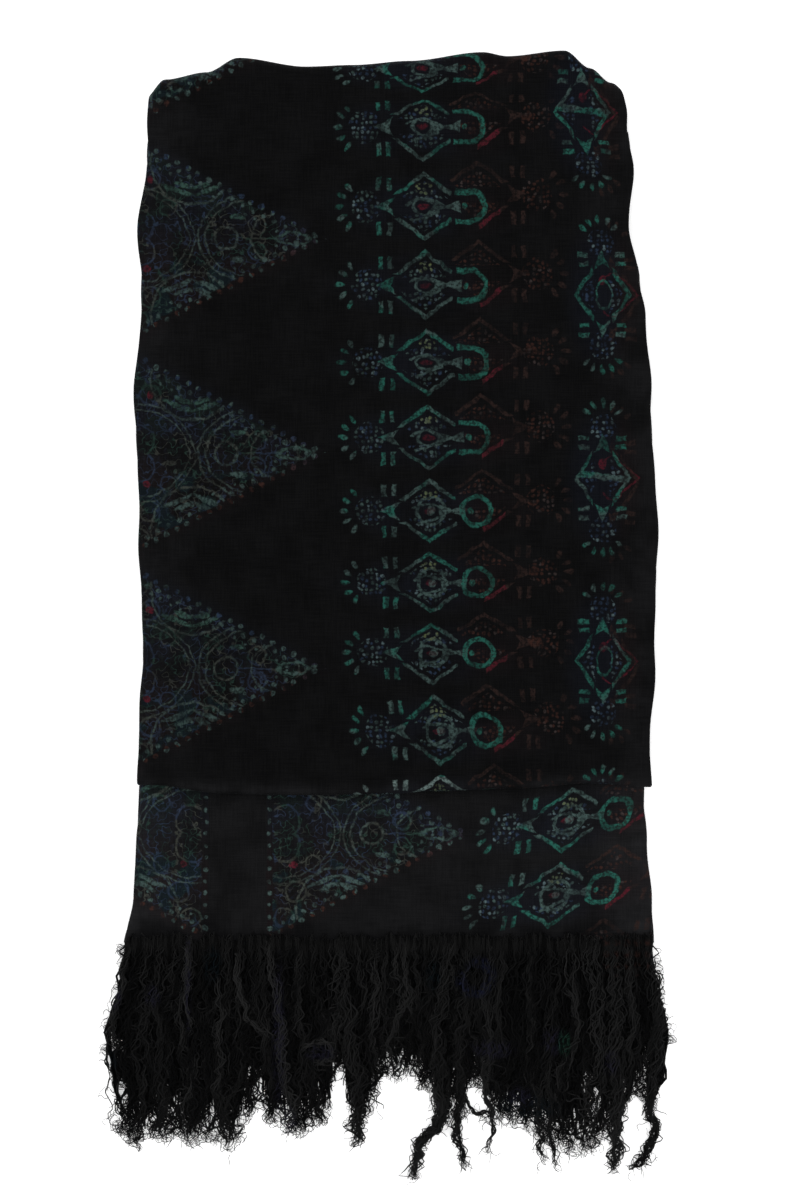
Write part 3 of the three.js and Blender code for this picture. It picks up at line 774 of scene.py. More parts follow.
# %% The fringe
HANGING = 420  # yarns in each row that hangs
HANGING_RADIUS = 0.72
QUARTERS = 4
MATTED = 200  # yarns that curl through each quarter of the mass
EDGE_HAIRS = 1000
HAIRS_ON_LOCK = 14
HAIRS_ON_STRAND = 6
HAIR_RADIUS = 0.2
strands = mass_strands()
upper_row = hanging_yarns(HANGING, 1, UPPER_START, 0.7, 1.0)
lower_row = hanging_yarns(HANGING, 0.96, 3.7, 0.45, 0.0)
back_row = hanging_yarns(HANGING, 0.9, 1.2, 0.25, 0.0)
hairs = joined([
    edge_hairs(EDGE_HAIRS), strand_hairs(LOCKS, HAIRS_ON_LOCK), strand_hairs(strands, HAIRS_ON_STRAND),
])
fringe = [
    bend_yarns("front_fringe_yarn_1", long_yarn, *joined([upper_row, lower_row]), radius=HANGING_RADIUS),
    bend_yarns("back_fringe_yarn_1", long_yarn, *back_row, radius=1.2 * HANGING_RADIUS),
    bend_yarns("front_fringe_locks_1", long_yarn, *joined([strand_yarns(*lock) for lock in LOCKS])),
    bend_yarns("front_fringe_hairs_1", short_yarn, *hairs, radius=HAIR_RADIUS),
]
ends = np.linspace(HEM_LEFT - 8, HEM_RIGHT + 8, QUARTERS + 1)
for number in range(QUARTERS):
    quarter = strands[number * STRANDS // QUARTERS:(number + 1) * STRANDS // QUARTERS]
    lines = [strand_yarns(*strand, lift=0.5) for strand in quarter]
    lines.append(matted_yarns(ends[number], ends[number + 1], MATTED))
    fringe.append(bend_yarns(f"front_fringe_matted_{number + 1}", long_yarn, *joined(lines)))

# %% [markdown]
# ## Materials: numbers that flow
# A printed cloth is worked out from distances: how far a point is from a line, a dot or a petal of the
# stamp decides whether it takes dye. Written with nodes one by one, that would be hard to read. So a small
# class stands for a number on its way through the material, and Python's signs on it add Math nodes.

# %% A number in a material, and the recipe that it belongs to
class Flow:
    """A number or a colour that changes over the surface."""

    def __init__(self, recipe, socket):
        self.recipe = recipe
        self.socket = socket

    def __add__(self, other):
        return self.recipe.maths("ADD", self, other)

    def __sub__(self, other):
        return self.recipe.maths("SUBTRACT", self, other)

    def __rsub__(self, other):
        return self.recipe.maths("SUBTRACT", other, self)

    def __mul__(self, other):
        return self.recipe.maths("MULTIPLY", self, other)

    __radd__ = __add__
    __rmul__ = __mul__

    def __abs__(self):
        return self.recipe.maths("ABSOLUTE", self)

    def __gt__(self, other):
        return self.recipe.maths("GREATER_THAN", self, other)

    def __lt__(self, other):
        return self.recipe.maths("LESS_THAN", self, other)


class Recipe:
    """A material's nodes. Every node is made by add, which sets its settings before its sockets."""

    def __init__(self, name):
        self.material = bpy.data.materials.new(name)
        self.material.use_nodes = True
        self.tree = self.material.node_tree
        self.tree.nodes.clear()

    def add(self, kind, settings=None, sockets=None):
        node = self.tree.nodes.new("ShaderNode" + kind)
        for name, value in (settings or {}).items():
            setattr(node, name, value)
        for name, value in (sockets or {}).items():
            if isinstance(value, Flow):
                self.tree.links.new(value.socket, node.inputs[name])
            else:
                node.inputs[name].default_value = value
        return node

    def maths(self, operation, *values, clamp=False):
        node = self.add("Math", {"operation": operation, "use_clamp": clamp}, dict(enumerate(values)))
        return Flow(self, node.outputs[0])

    def vector(self, operation, *values, output="Vector"):
        node = self.add("VectorMath", {"operation": operation}, dict(enumerate(values)))
        return Flow(self, node.outputs[output])

    def join(self, x, y):
        return Flow(self, self.add("CombineXYZ", None, {0: x, 1: y}).outputs[0])

    def split(self, vector):
        node = self.add("SeparateXYZ", None, {0: vector})
        return [Flow(self, output) for output in node.outputs]

    def blend(self, share, ground, over):
        """A colour laid over another; share is 0 where only the ground shows."""
        node = self.add("Mix", {"data_type": "RGBA"}, {0: share, 6: ground, 7: over})
        return Flow(self, node.outputs[2])

    def noise(self, where, scale, detail=2.0, output="Fac"):
        node = self.add(
            "TexNoise", {"noise_dimensions": "2D"}, {"Vector": where, "Scale": scale, "Detail": detail}
        )
        return Flow(self, node.outputs[output])

    def ramp(self, value, from_low, from_high, to_low=0.0, to_high=1.0):
        """A soft step of a value, from one range to another."""
        node = self.add(
            "MapRange", {"interpolation_type": "SMOOTHSTEP"},
            {0: value, 1: from_low, 2: from_high, 3: to_low, 4: to_high},
        )
        return Flow(self, node.outputs[0])

    def finish(self, colour, height, bump, roughness, **constants):
        relief = self.add("Bump", None, {"Height": height, "Strength": 1.0, "Distance": bump})
        shader = self.add("BsdfPrincipled", None, {"Base Color": colour, "Roughness": roughness})
        self.tree.links.new(relief.outputs[0], shader.inputs["Normal"])
        for name, value in constants.items():
            shader.inputs[name.replace("_", " ")].default_value = value
        output = self.add("OutputMaterial")
        self.tree.links.new(shader.outputs[0], output.inputs[0])
        return self.material


def dye(red, green, blue):
    """A colour as a paint chart gives it, from 0 to 255, as light."""
    shares = np.array([red, green, blue]) / 255
    light = np.where(shares <= 0.04045, shares / 12.92, ((shares + 0.055) / 1.055) ** 2.4)
    return (*light.tolist(), 1.0)


# %% [markdown]
# ## The shapes of the stamp
# A batik stamp is a pattern of bent copper strips. Each of its marks is a distance worked out in
# millimetres: below zero inside the mark. Repeats come from wrapping a coordinate, mirrors from taking
# its size without its sign, and the petals of a fan from wrapping the angle round its centre.

# %% Marks
BLEED = 0.6  # how soft the edge of a mark is, from the dye that crept under the wax


def ink(distance, edge=BLEED):
    """1 inside a mark, 0 outside."""
    return distance.recipe.maths("MULTIPLY_ADD", distance, -1 / edge, 0.5, clamp=True)


def wrap(value, period):
    return value.recipe.maths("WRAP", value, period / 2, -period / 2)


def most(first, *others):
    for other in others:
        first = first.recipe.maths("MAXIMUM", first, other)
    return first


def least(first, *others):
    for other in others:
        first = first.recipe.maths("MINIMUM", first, other)
    return first


def reach_from(x, y, half_x=1.0, half_y=1.0):
    """Distance from a centre, in units of the half sizes given."""
    recipe = x.recipe
    place_here = recipe.join(x, y)
    if (half_x, half_y) != (1.0, 1.0):
        place_here = recipe.vector("MULTIPLY", place_here, (1 / half_x, 1 / half_y, 1.0))
    return recipe.vector("LENGTH", place_here, output="Value")


def off_oval(x, y, half_x, half_y):
    """Distance to the edge of an oval, true along its short half."""
    return (reach_from(x, y, half_x, half_y) - 1.0) * min(half_x, half_y)


def oval(x, y, half_x, half_y):
    return ink(off_oval(x, y, half_x, half_y))


def switch(on, value, other):
    """The value where on is 0, and the other one where it is 1."""
    return value + on * (other - value)


def ring(x, y, radius, line, stretch=1.0):
    """Distance to a round line; it is stretched across by a factor."""
    return abs(reach_from(x, y, stretch, 1.0) - radius) - line


def twin_ring(x, y, radius, stretch=1.0):
    """Distance to two round lines side by side, as a stamp with a double strip prints them."""
    return abs(ring(x, y, radius, 1.7, stretch)) - 0.45


DIAMOND_TIP = 18.6  # half the height of the flower's diamond
DIAMOND_SLOPE = 0.68
FAN_AT = 39.4
FAN_RADIUS = 13.2


def stamp(x, y, dots, size=1.0):
    """The flower stamp, from the middle of its diamond outwards along x: the half diamond, the notched
    arrow with its bars, the heart of dots and the fan of petals. It gives the strong marks and the dots."""
    recipe = x.recipe
    up = abs(y)
    from_sides = up + abs(x) * DIAMOND_SLOPE
    diamond = abs((from_sides - DIAMOND_TIP * size) * (1 / math.hypot(1, DIAMOND_SLOPE))) - 1.1
    diamond = most(diamond, 6.8 * size - up)
    arrow = most(x - 30.7 * size, up + (x - 30.7 * size) * 0.43, 21.5 * size - x - up * 0.6)
    bars = most(abs(abs(x - 24.8 * size) - 3.1 * size) - 1.4, abs(up - 13.0 * size) - 3.6 * size)
    fan_x = x - FAN_AT * size
    turn = recipe.maths("ARCTAN2", y, fan_x)
    along_fan = reach_from(fan_x, y) - FAN_RADIUS * size
    across_fan = wrap(turn, 0.5) * (FAN_RADIUS * size)
    petal = most(off_oval(along_fan, across_fan, 2.8 * size, 1.45 * size), (abs(turn) - 1.25) * 10.0)
    heart = least(
        reach_from(x - 36.3 * size, y) - 9.2 * size,
        most(from_sides - 14.5 * size, 4.6 - up),
    )
    return ink(least(diamond, arrow, bars, petal)), ink(most(dots, heart))


# %% [markdown]
# ## The rows of triangles
# The cloth's long border has triangles that point inwards, side by side, each edged with dots and filled
# with curling tendrils. Such triangles are a traditional border of batik cloths. Here the tendrils are
# rings and arcs of my own choosing, which cross and touch.

# %% A triangle
BORDER_LENGTH = 121.4
BORDER_HALF = 64.0
BORDER_PITCH = 133.0
DOT_STEP = 7.4


def border_triangle(p, y, tangle):
    """Marks of the triangle whose base lies at p = 0 and whose tip points along p: the bold lines, the
    fine ones, the leaves, the dots of its edge, and the space inside it."""
    edge = math.hypot(BORDER_LENGTH, BORDER_HALF)
    cosine = BORDER_LENGTH / edge
    sine = BORDER_HALF / edge
    up = abs(y)
    outside = p * sine + (up - BORDER_HALF) * cosine
    beside = p * cosine - (up - BORDER_HALF) * sine
    dots = reach_from(outside, wrap(beside, DOT_STEP)) - 1.65
    dots = least(dots, reach_from(outside + 4.4, wrap(beside + DOT_STEP / 2, DOT_STEP)) - 1.4)
    dots = least(dots, reach_from(outside + 8.4, wrap(beside, DOT_STEP)) - 0.9)
    base_dots = most(reach_from(p + 0.4, wrap(y, DOT_STEP)) - 1.3, up - BORDER_HALF)
    edge_dots = ink(least(most(dots, 0.0 - p), base_dots))
    inside = ink(most(outside + 1.8, 2.2 - p), 1.0)
    bold = least(
        twin_ring(p - 8.0, up + 6.0, 35.0),
        twin_ring(p - 84.0, y, 26.5, 1.36),
        ring(p - 63.0, y, 7.0, 0.75),
        ring(p - 93.0, y, 14.5, 0.6),
        ring(p - 42.5, up - 47.0, 26.0, 0.7),
    )
    curls = least(
        ring(p - 82.0, up - 8.0, 5.4, 0.55),
        ring(p - 16.0, up - 36.0, 6.2, 0.65),
        ring(p - 9.0, up - 8.0, 9.5, 0.6),
        ring(p - 27.0, up - 19.0, 5.0, 0.5),
        ring(p - 9.0, up - 52.0, 6.0, 0.55),
        most(up - 0.5, abs(p - 84.0) - 14.0),
    )
    away = abs(p - 42.6)
    wing_x = away * 0.93 + (up - 24.0) * 0.36
    wing_y = (up - 24.0) * 0.93 - away * 0.36
    leaves = ink(least(
        off_oval(wing_x - 11.0, wing_y - 1.6, 10.0, 1.5),
        off_oval(wing_x - 9.0, wing_y - 6.0, 6.0, 1.6),
        abs(off_oval(p - 105.0, y, 9.5, 3.8)) - 0.7,
        off_oval(p - 70.0, up - 13.0, 4.6, 1.7),
    ))
    return ink(bold), ink(least(curls, tangle)), leaves, edge_dots, inside, outside


# %% [markdown]
# ## The batik cloth
# The cloth is dyed near black, over rows of stamped flowers in teal with a brown red shadow print, a
# column of the same flowers turned upright, and the border of triangles. The dye is uneven, the wax left
# navy and dark red clouds round the marks, and the weave shows as faint slubs both ways. A print as a
# picture would be simpler, but it would blur close up. As distances the marks stay sharp at any size.

# %% Dyes
TEAL = dye(24, 65, 57)
PALE_TEAL = dye(44, 58, 56)
GREEN = dye(26, 56, 44)
LEAF = dye(36, 56, 50)
FERN = dye(25, 41, 36)
SMOKE = dye(22, 25, 33)
MOSSY = dye(17, 27, 24)
POND = dye(7, 15, 19)
DEEP = dye(10, 14, 14)
NAVY = dye(8, 10, 16)
SLATE = dye(28, 39, 54)
CHALK = dye(60, 74, 77)
CHALKY = dye(45, 47, 43)
BLANCHED = dye(76, 90, 88)
MOSS = dye(60, 66, 42)
BROWN = dye(29, 20, 18)
RUST = dye(39, 23, 19)
WINE = dye(13, 8, 9)
RED = dye(54, 14, 22)
TENDRIL = dye(42, 44, 40)
HEATHER = dye(27, 26, 38)
INDIGO = dye(27, 36, 52)
print("teal as light:", [round(share, 4) for share in TEAL])

# %% What all marks share
DOT_CELLS = 0.33  # dots of a flower's heart in each millimetre
DOT_RADIUS = 0.95
TO_RULER = (1000.0, 1000.0, 0.0)  # metres to millimetres, with the height left out


class Cloth(Recipe):
    """A recipe that also knows where each point lies on the cloth, and how well the dyes took there."""

    def __init__(self, name):
        super().__init__(name)
        place_here = Flow(self, self.add("UVMap", {"uv_map": "print"}).outputs[0])
        self.laid = self.vector("MULTIPLY", place_here, TO_RULER)
        wobble = self.noise(self.laid, 0.12, 4.0, "Color")
        wobble = self.vector("MULTIPLY_ADD", wobble, (3.8, 3.8, 0.0), (-1.9, -1.9, 0.0))
        warped = self.vector("ADD", self.laid, wobble)
        self.u, self.v, _ = self.split(warped)
        self.patch = self.noise(self.laid, 0.045, 3.0)
        worn = self.ramp(self.noise(self.laid, 0.5, 3.0), 0.36, 0.6, 0.25, 1.0)
        self.took = worn * self.ramp(self.noise(self.laid, 0.1, 1.0), 0.35, 0.62, 0.4, 1.0)
        cells = self.add(
            "TexVoronoi", {"voronoi_dimensions": "2D"},
            {"Vector": warped, "Scale": DOT_CELLS, "Randomness": 0.6},
        )
        self.dots = Flow(self, cells.outputs["Distance"]) * (1 / DOT_CELLS) - DOT_RADIUS
        self.luck, _, _ = self.split(Flow(self, cells.outputs["Color"]))
        self.edge = Flow(self, self.add("Attribute", {"attribute_name": "edge"}).outputs["Fac"])

    def stamped(self, colour, *marks):
        """The colour with marks printed on it, each as far as its dye took: mark, dye, strength."""
        for mark, over, strength in marks:
            colour = self.blend(mark * self.took * strength, colour, over)
        return colour

    def times(self, colour, factor):
        return self.vector("MULTIPLY", colour, (factor, factor, factor))


# %% Triangles, mirrored across the plain strip between them
BORDER_STRIP = 20.15  # half the plain strip
BORDER_BASE = -161.2


def print_triangles(cloth, colour, shift):
    p = abs(cloth.u + (BORDER_STRIP - BORDER_BASE - shift[0])) - BORDER_STRIP
    y = wrap(cloth.v - 100.0 - shift[1], BORDER_PITCH)
    tangle = abs(cloth.noise(cloth.laid, 0.17, 1.0) - 0.5) * 19.0 - 0.42
    lines, fine, leaves, edge_dots, inside, outside = border_triangle(p, y, tangle)
    upper = cloth.ramp(y, -20.0, 20.0)
    clouded = cloth.ramp(cloth.patch, 0.35, 0.6, 0.1, 0.75)
    halo = cloth.ramp(outside, -6.0, 9.0, 0.75, 0.0) * (p > -2.0) * clouded
    colour = cloth.blend(halo, colour, cloth.blend(upper, WINE, NAVY))
    hue = cloth.noise(cloth.laid, 0.06, 2.0)
    pool = cloth.ramp(hue, 0.52, 0.6) * inside * cloth.ramp(abs(y), 8.0, 20.0, 0.1, 0.8)
    colour = cloth.blend(pool, colour, cloth.blend(upper, POND, DEEP))
    dabs = cloth.noise(cloth.vector("ADD", cloth.laid, (60.0, 9.0, 0.0)), 0.34, 1.0)
    dabs = cloth.ramp(dabs, 0.52, 0.6) * inside
    colour = cloth.stamped(colour, (dabs, cloth.blend(cloth.ramp(hue, 0.44, 0.5), SMOKE, MOSSY), 0.35))
    tint = cloth.blend(cloth.ramp(hue, 0.46, 0.54), TENDRIL, FERN)
    tint = cloth.blend(cloth.ramp(cloth.patch, 0.47, 0.53) * 0.9, tint, INDIGO)
    colour = cloth.blend(fine * inside * (cloth.took * 0.6 + 0.25), colour, tint)
    berry = most(oval(p - 16.0, y - 36.0, 2.2, 2.6), oval(p - 14.0, y + 19.0, 2.4, 2.0))
    outer_dots = cloth.blend(cloth.luck > 0.55, cloth.blend(upper, RUST, SLATE), PALE_TEAL)
    return cloth.stamped(
        colour,
        (lines * inside, cloth.blend(clouded, CHALKY, PALE_TEAL), 0.8),
        (leaves * inside, cloth.blend(upper, PALE_TEAL, LEAF), 0.9),
        (berry, RED, 1.0),
        (edge_dots, cloth.blend(cloth.ramp(outside, -3.4, -1.8), PALE_TEAL, outer_dots), 0.9),
    )


# %% Rows of flowers: teal on the left of their mirror line, the higher brown print on its right
ROW_PITCH = 45.6
FIRST_ROW = 301.9
DRIFT_WAVE = 18 * ROW_PITCH  # the rows lie closer, then wider, over this length
SHADOW_LIFT = 6.8  # how much higher the brown print lies than the teal one
MIDDLE = 16.6  # from the mirror line to the middle of a diamond
FLAP_ROWS = (40.9, 252.3)  # a point on the flap's mirror line
CLOSED_BELOW = 87.0  # from here down the horseshoes were stamped as closed rings


def print_rows(cloth, colour, row_middle, lean_by, tilt, drift):
    row_u, row_v = row_middle
    t = cloth.u - row_u - (cloth.v - row_v) * lean_by
    row_y = cloth.v - row_v - (cloth.u - row_u) * tilt
    if drift:
        wave = cloth.maths("SINE", (cloth.v - FIRST_ROW) * (-2 * math.pi / DRIFT_WAVE))
        row_y = row_y + wave * drift
        row_y = row_y + cloth.ramp(cloth.v, 308.0, 338.0, 0.0, 12.3)
        row_y = row_y - (FIRST_ROW - row_v) + cloth.ramp(cloth.v, -108.0, -24.0, 9.9, 0.0)
        t = t - cloth.ramp(cloth.v, -80.0, -38.0, 4.3, 0.0)
    teal_y = wrap(row_y, ROW_PITCH)
    brown_y = wrap(row_y - SHADOW_LIFT, ROW_PITCH)
    right = t > 0.0
    strong, specks = stamp(abs(t) - MIDDLE, switch(right, teal_y, brown_y), cloth.dots)
    gone = right * (t < MIDDLE) * (brown_y < -2.0)
    cloud = cloth.ramp(reach_from(t + 12.0, teal_y, 74.0, 22.0), 0.35, 1.05, 0.6, 0.0)
    cloud = cloud * cloth.ramp(cloth.patch, 0.3, 0.6, 0.3, 1.0)
    colour = cloth.blend(cloud, colour, cloth.blend(cloth.ramp(t, -8.0, 26.0), NAVY, WINE))
    faint = cloth.blend(right, cloth.blend(cloth.luck > 0.35, SLATE, PALE_TEAL), RUST)
    spot = cloth.blend((cloth.luck > 0.74) * (1.0 - right * 0.85), faint, CHALK)
    flower = cloth.blend(cloth.ramp(cloth.patch, 0.42, 0.56), PALE_TEAL, TEAL)
    if drift:
        flower = cloth.blend(cloth.v < FLAP_END + 8.0, flower, BLANCHED)
    blot = oval(t - 47.5, brown_y, 3.6, 3.2) * cloth.ramp(cloth.patch, 0.4, 0.5)

    # What only the middle of the teal half holds, then the horseshoe and the red edge beside it
    x = t + MIDDLE
    arc = most(ring(x + 2.0, teal_y + 10.0, 14.0, 0.7), abs(x + 2.0) - 9.0, 1.0 - teal_y)
    leaf = most(abs(teal_y + 6.2 - x * 0.33) - 0.8, abs(x - 1.0) - 8.5)
    bow = most(abs(teal_y) - 0.9 - abs(t + 2.5) * 0.32, abs(t + 2.5) - 8.0)
    eye = ring(x, teal_y, 4.6, 0.7, 1.4)
    closed = cloth.v < CLOSED_BELOW
    eye = switch(closed, eye, least(ring(x - 1.0, teal_y, 8.6, 1.0), reach_from(x - 1.0, teal_y) - 2.6))
    moss = oval(x, teal_y - 10.4, 5.4, 3.2) * ink(cloth.dots)
    hook = most(ring(most(t - 11.8, 0.0), teal_y, 8.7, 1.55), 2.4 - t, t - 24.0)
    hook = switch(closed, hook, ring(t - 12.6, teal_y, 8.9, 1.5))
    bead = reach_from(t - 8.6, teal_y) - 1.8
    ember = abs(abs(brown_y) + (t - MIDDLE) * DIAMOND_SLOPE - DIAMOND_TIP) - 1.5
    ember = most(ember, abs(t - 23.6) - 6.6, brown_y)
    return cloth.stamped(
        colour,
        (specks, spot, 0.9),
        (strong * (1.0 - gone), cloth.blend(right, flower, BROWN), 1.0),
        (blot, RUST, 1.0),
        (oval(x, teal_y, 3.6, 1.7), RED, 0.8),
        (ink(least(arc, leaf, bow, eye)), PALE_TEAL, 1.0),
        (moss, MOSS, 1.0),
        (ink(least(hook, bead)), TEAL, 1.0),
        (ink(ember), RED, 1.0),
    )


# %% The upright column, with a red shadow of its diamonds
COLUMN_PITCH = 113.3
COLUMN_MIDDLE = 198.0  # the middle of one of its diamonds
COLUMN_SIZE = 0.88
COLUMN_SHADOW = 5.6


def print_column(cloth, colour, from_rows):
    c = cloth.u - cloth.ramp(cloth.v, 205.0, 325.0, 134.6, 121.5) - from_rows
    w = wrap(cloth.v - COLUMN_MIDDLE, COLUMN_PITCH)
    every_other = abs(wrap(cloth.v - COLUMN_MIDDLE, 2 * COLUMN_PITCH)) < COLUMN_PITCH / 2
    cloud = cloth.ramp(reach_from(c, w, 26.0, 50.0), 0.4, 1.1, 0.7, 0.0)
    colour = cloth.blend(cloud, colour, cloth.blend(cloth.ramp(c, 2.0, 16.0), NAVY, WINE))
    side = c - COLUMN_SHADOW
    shadow = most(abs(abs(side) + abs(w) * 1.1 - 16.5) - 0.9, abs(w) - 14.0, 0.0 - c)
    spot = off_oval(c, w - 9.0, 2.4, 3.2)
    brown, _ = stamp(abs(w + 3.0), side, cloth.dots, COLUMN_SIZE)
    strong, specks = stamp(abs(w), c, cloth.dots, COLUMN_SIZE)
    lens = ring(c - 1.0, w, 8.6, 0.9, 0.55)
    band = most(abs(w - 1.0 + c * 0.13) - 1.9, abs(c) - 14.0)
    middle = switch(every_other, ink(band), ink(lens))
    return cloth.stamped(
        colour,
        (ink(least(shadow, spot)), RED, 0.9),
        (brown * (c > 4.0), BROWN, 0.8),
        (specks, cloth.blend(cloth.luck > 0.7, SLATE, CHALK), 0.9),
        (most(strong, middle), cloth.blend(cloth.ramp(cloth.patch, 0.38, 0.56), PALE_TEAL, TEAL), 1.0),
    )


# %% The whole cloth
THREADS = 6.9  # how fast the fine threads follow one another


def batik(name, ground, shift=(0.0, 0.0), row_middle=FLAP_ROWS, lean_by=-0.0167, tilt=0.0, drift=9.9,
          painted_lightness=1.0):
    """The printed cloth. shift moves the triangles, row_middle is a point on the mirror line of the rows,
    lean_by and tilt slant the mirror line and the rows, drift is how unevenly the rows were laid, and
    painted_lightness is how much brighter the whole colour is painted, as painted light."""
    cloth = Cloth(name)
    pale_ground = tuple(1.6 * share for share in ground)
    # The ground is paler at random in patches
    ground_tone = cloth.blend(cloth.ramp(cloth.patch, 0.3, 0.7), ground, pale_ground)
    # Painted sheen: near the folds the ground is painted up to 2.6 times lighter, in patches
    fold_sheen = cloth.edge * cloth.ramp(cloth.patch, 0.2, 0.6, 0.4, 1.0)
    ground_tone = cloth.blend(fold_sheen, ground_tone, cloth.times(ground_tone, 2.6))
    colour = print_triangles(cloth, ground_tone, shift)
    colour = print_rows(cloth, colour, row_middle, lean_by, tilt, drift)
    colour = cloth.times(print_column(cloth, colour, row_middle[0] - FLAP_ROWS[0]), painted_lightness)

    # Weave: slubs both ways and the fine threads themselves, as height and as a faint change of tone
    weft = cloth.noise(cloth.vector("MULTIPLY", cloth.laid, (0.06, 1.4, 0.0)), 1.0, 2.0)
    warp = cloth.noise(cloth.vector("MULTIPLY", cloth.laid, (1.4, 0.06, 0.0)), 1.0, 2.0)
    slub = weft + warp
    thread = cloth.maths("SINE", cloth.u * THREADS) * cloth.maths("SINE", cloth.v * THREADS)
    height = slub * 0.16 + thread * 0.05 + cloth.noise(cloth.laid, 0.07, 3.0) * 0.9
    toned = cloth.ramp(slub, 0.75, 1.25)
    colour = cloth.blend(toned * 0.5, colour, cloth.times(colour, 1.5))
    # The cloth is darker towards the hem
    darker_near_hem = cloth.ramp(cloth.v + cloth.patch * 30.0, HEM + 12.0, HEM + 34.0, 0.72, 0.0)
    colour = cloth.blend(darker_near_hem, colour, dye(4, 4, 5))
    return cloth.finish(
        colour, height, 0.001, cloth.ramp(slub, 0.8, 1.2, 0.8, 0.6),
        Specular_IOR_Level=0.03, Sheen_Weight=0.03, Sheen_Roughness=0.25,
        Sheen_Tint=(0.62, 0.66, 0.74, 1.0),
    )


flap_batik = batik("flap_batik", dye(4.2, 4.2, 4.6))
# The hem stretch is the same cloth as the flap, painted lighter as painted light: a paler ground, and all
# its colour 1.35 times brighter
hem_batik_painted_lighter = batik(
    "hem_batik_painted_lighter", dye(7, 7, 7.6), shift=(89.9, -102.5), row_middle=(130.2, -124.6),
    lean_by=0.18, tilt=0.14, drift=0.0, painted_lightness=1.35,
)
back_batik = batik("back_batik", dye(6, 6, 7), shift=(60.0, 20.0), row_middle=(101.0, 272.0))
for piece, cloth in ((flap, flap_batik), (inner, back_batik), (hem, hem_batik_painted_lighter), (back, back_batik),
                     (upper_strip, hem_batik_painted_lighter), (lower_strip, back_batik)):
    piece.data.materials.clear()
    piece.data.materials.append(cloth)
print("the flap's cloth has", len(flap_batik.node_tree.nodes), "nodes")

# %% [markdown]
# ## The yarn
# The fringe is made of the cloth's own loose threads, dyed with it. Most are near black. The twisted locks
#  are a little greyer, partly in their own tone and partly by painted sheen where they lie raised, and
#  where a flower was printed across the threads they still hold navy and teal.

# %% Yarn
# Where the print ran over the yarns: across, down, half width, half height, dye
PRINTED = [
    (-167, 34, 4, 8, HEATHER), (-144, 33, 5, 7, HEATHER), (-170, 74, 4, 7, POND),
    (-122, 26, 2, 32, HEATHER), (-66, 60, 4, 50, HEATHER), (-40, 68, 10, 5, HEATHER),
    (66, 66, 14, 6, HEATHER), (88, 103, 20, 9, POND), (104, 61, 7, 9, HEATHER), (111, 62, 4, 8, GREEN),
    (140, 74, 5, 8, HEATHER), (158, 133, 8, 8, WINE), (-60, 112, 5, 12, HEATHER),
    (-107, 14, 6, 12, POND), (30, 20, 5, 10, POND), (84, 96, 8, 7, HEATHER),
]


def yarn_finish():
    recipe = Recipe("fringe_yarn_black")
    spot = Flow(recipe, recipe.add("UVMap", {"uv_map": "print"}).outputs[0])
    here = Flow(recipe, recipe.add("TexCoord").outputs["Object"])
    tone, travelled, _ = recipe.split(spot)
    fade = recipe.noise(recipe.vector("MULTIPLY", spot, (97.0, 60.0, 0.0)), 1.0, 2.0)
    # The yarns' tone, which on the raised locks is partly painted sheen
    colour = recipe.blend(recipe.ramp(tone, 0.05, 1.05), dye(6, 6, 6), dye(36, 36, 36))
    on_ruler = recipe.vector("MULTIPLY_ADD", here, TO_RULER, (-SHIFT_X, -SHIFT_Y, 0.0))
    u, v, _ = recipe.split(on_ruler)
    down = HEM - v
    patch = recipe.noise(on_ruler, 0.11, 2.0)
    streak = recipe.noise(recipe.vector("MULTIPLY", on_ruler, (0.34, 0.03, 0.0)), 1.0, 2.0)
    like_cloth = recipe.ramp(down + patch * 34.0, 8.0, 42.0, 1.0, 0.0) * recipe.ramp(streak, 0.42, 0.58)
    colour = recipe.blend(like_cloth, colour, dye(20, 20, 20))
    blotch = recipe.noise(on_ruler, 0.4, 2.0)
    taken = recipe.ramp(fade + blotch, 0.85, 1.2, 0.0, 0.9)
    for x, middle, half_width, half_height, hue in PRINTED:
        near = recipe.ramp(reach_from(u - x, down - middle, half_width, half_height), 0.4, 1.3, 1.0, 0.0)
        colour = recipe.blend(near * taken, colour, hue)
    circle = ink(ring(u - 56.0, down - 21.0, 9.5, 2.6), 4.0) * recipe.ramp(u + down, 60.0, 72.0)
    colour = recipe.blend(circle * taken, colour, dye(22, 25, 44))
    beads = reach_from(wrap(u - 150.0, 6.4), wrap(down - 7.0, 7.2)) - 1.5
    beads = ink(most(beads, abs(u - 150.0) - 15.0, abs(down - 8.0) - 12.0), 2.5)
    colour = recipe.blend(beads * taken, colour, RUST)
    twist = recipe.maths("SINE", travelled * 5200.0 + tone * 40.0)
    return recipe.finish(
        colour, twist * 0.08 + fade * 0.3, 0.001, recipe.ramp(fade, 0.3, 0.7, 0.75, 0.55),
        Specular_IOR_Level=0.03, Sheen_Weight=0.01, Sheen_Roughness=0.3, Sheen_Tint=(0.6, 0.66, 0.78, 1.0),
    )


yarn = yarn_finish()
for piece in fringe:
    piece.data.materials.append(yarn)

# %% [markdown]
# ## What each piece stands for
# Every piece moves with the stole's one body and stands for a solid of the imported model.

# %% Bodies and solids
for piece in (flap, hem, back, inner, upper_strip, lower_strip):
    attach(piece, "root")
for piece in fringe:
    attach(piece, "root")
    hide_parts("front_fringe" if piece.name.startswith("front") else "back_fringe")


# Sheet, the solid that it stands for, its path, what it lies on, and whose yarns it carries
for piece, solid, path, below, carried in (
    (flap, "front_flap", flap_path, inner, None),
    (inner, "inner_layers", inner_path, back, None),
    (hem, "hem_stretch", hem_path, back, "front"),
    (back, "back_stretch", back_path, flap, "back"),
):
    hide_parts(solid)
for piece, below in ((upper_strip, lower_strip), (lower_strip, back)):
    print(piece.name, "lies on", below.name)

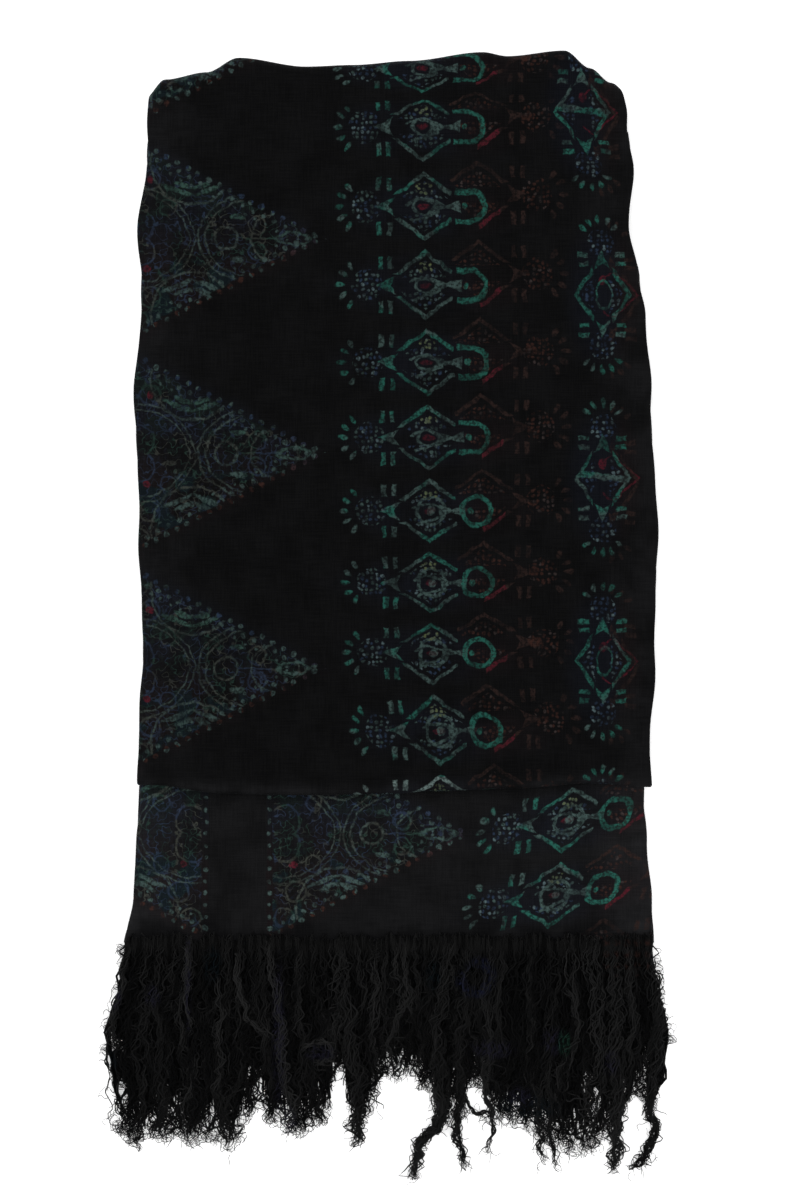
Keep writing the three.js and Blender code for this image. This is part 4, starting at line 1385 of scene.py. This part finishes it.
# %% [markdown]
# ## Table, light and camera
# The stole was photographed from straight above on plain white, in soft light, and the white is bright
# enough to swallow most of the shadow at the stole's edge. So the table is a wide white plane that gives a
# little light itself, large soft lamps hang on two sides, and a white room fills the shadows.

# %% Table
bpy.ops.mesh.primitive_plane_add(size=12, location=(0, 0, -0.0004))
table = bpy.context.object
table.name = "table"
white = Recipe("white_table")
spot = Flow(white, white.add("TexCoord").outputs["Object"])
grain = white.noise(spot, 3.0, 2.0)
table.data.materials.append(white.finish(
    white.blend(grain, (0.93, 0.93, 0.93, 1.0), (0.96, 0.96, 0.96, 1.0)), grain, 0.0001, 0.9,
    Emission_Color=(1.0, 1.0, 1.0, 1.0), Emission_Strength=0.3,
))
print("the table is", table.dimensions.x, "m wide")

# %% Light
world = bpy.data.worlds.new("white_room")
bpy.context.scene.world = world
world.use_nodes = True
background = world.node_tree.nodes["Background"]
background.inputs["Color"].default_value = (1, 1, 1, 1)
background.inputs["Strength"].default_value = 1.15


def lamp(name, spot, target, size, watts):
    bpy.ops.object.light_add(type="AREA", location=spot)
    light = bpy.context.object
    light.name = name
    light.data.shape = "DISK"
    light.data.size = size
    light.data.energy = watts
    aim = np.array(target) - np.array(spot)
    tip = math.acos(-aim[2] / np.linalg.norm(aim))
    light.rotation_euler = (tip, 0, math.atan2(-aim[0], aim[1]))
    print(name, "gives", watts, "W")


lamp("window_lamp", (-1.6, 1.3, 1.25), (0, 0, 0), 0.8, 16)
lamp("fill_lamp", (1.7, -0.9, 1.6), (0, 0, 0), 1.0, 6)

# %% Camera
PHOTO_HEIGHT = 0.744  # what the photograph takes in from top to bottom
CAMERA_HEIGHT = 2.2
CAMERA_AIM = (9.3, 9.3)  # on the ruler
HALF_PILE = 0.006
bpy.ops.object.camera_add(
    location=((CAMERA_AIM[0] + SHIFT_X) * MM, (CAMERA_AIM[1] + SHIFT_Y) * MM, CAMERA_HEIGHT),
    rotation=(0, 0, 0),
)
camera = bpy.context.object
camera.data.sensor_width = 36
camera.data.lens = camera.data.sensor_width * (CAMERA_HEIGHT - HALF_PILE) / PHOTO_HEIGHT
bpy.context.scene.camera = camera
bpy.context.scene.view_settings.view_transform = "Standard"
print(f"the camera looks straight down from {CAMERA_HEIGHT} m, with a lens of {camera.data.lens:.0f} mm")
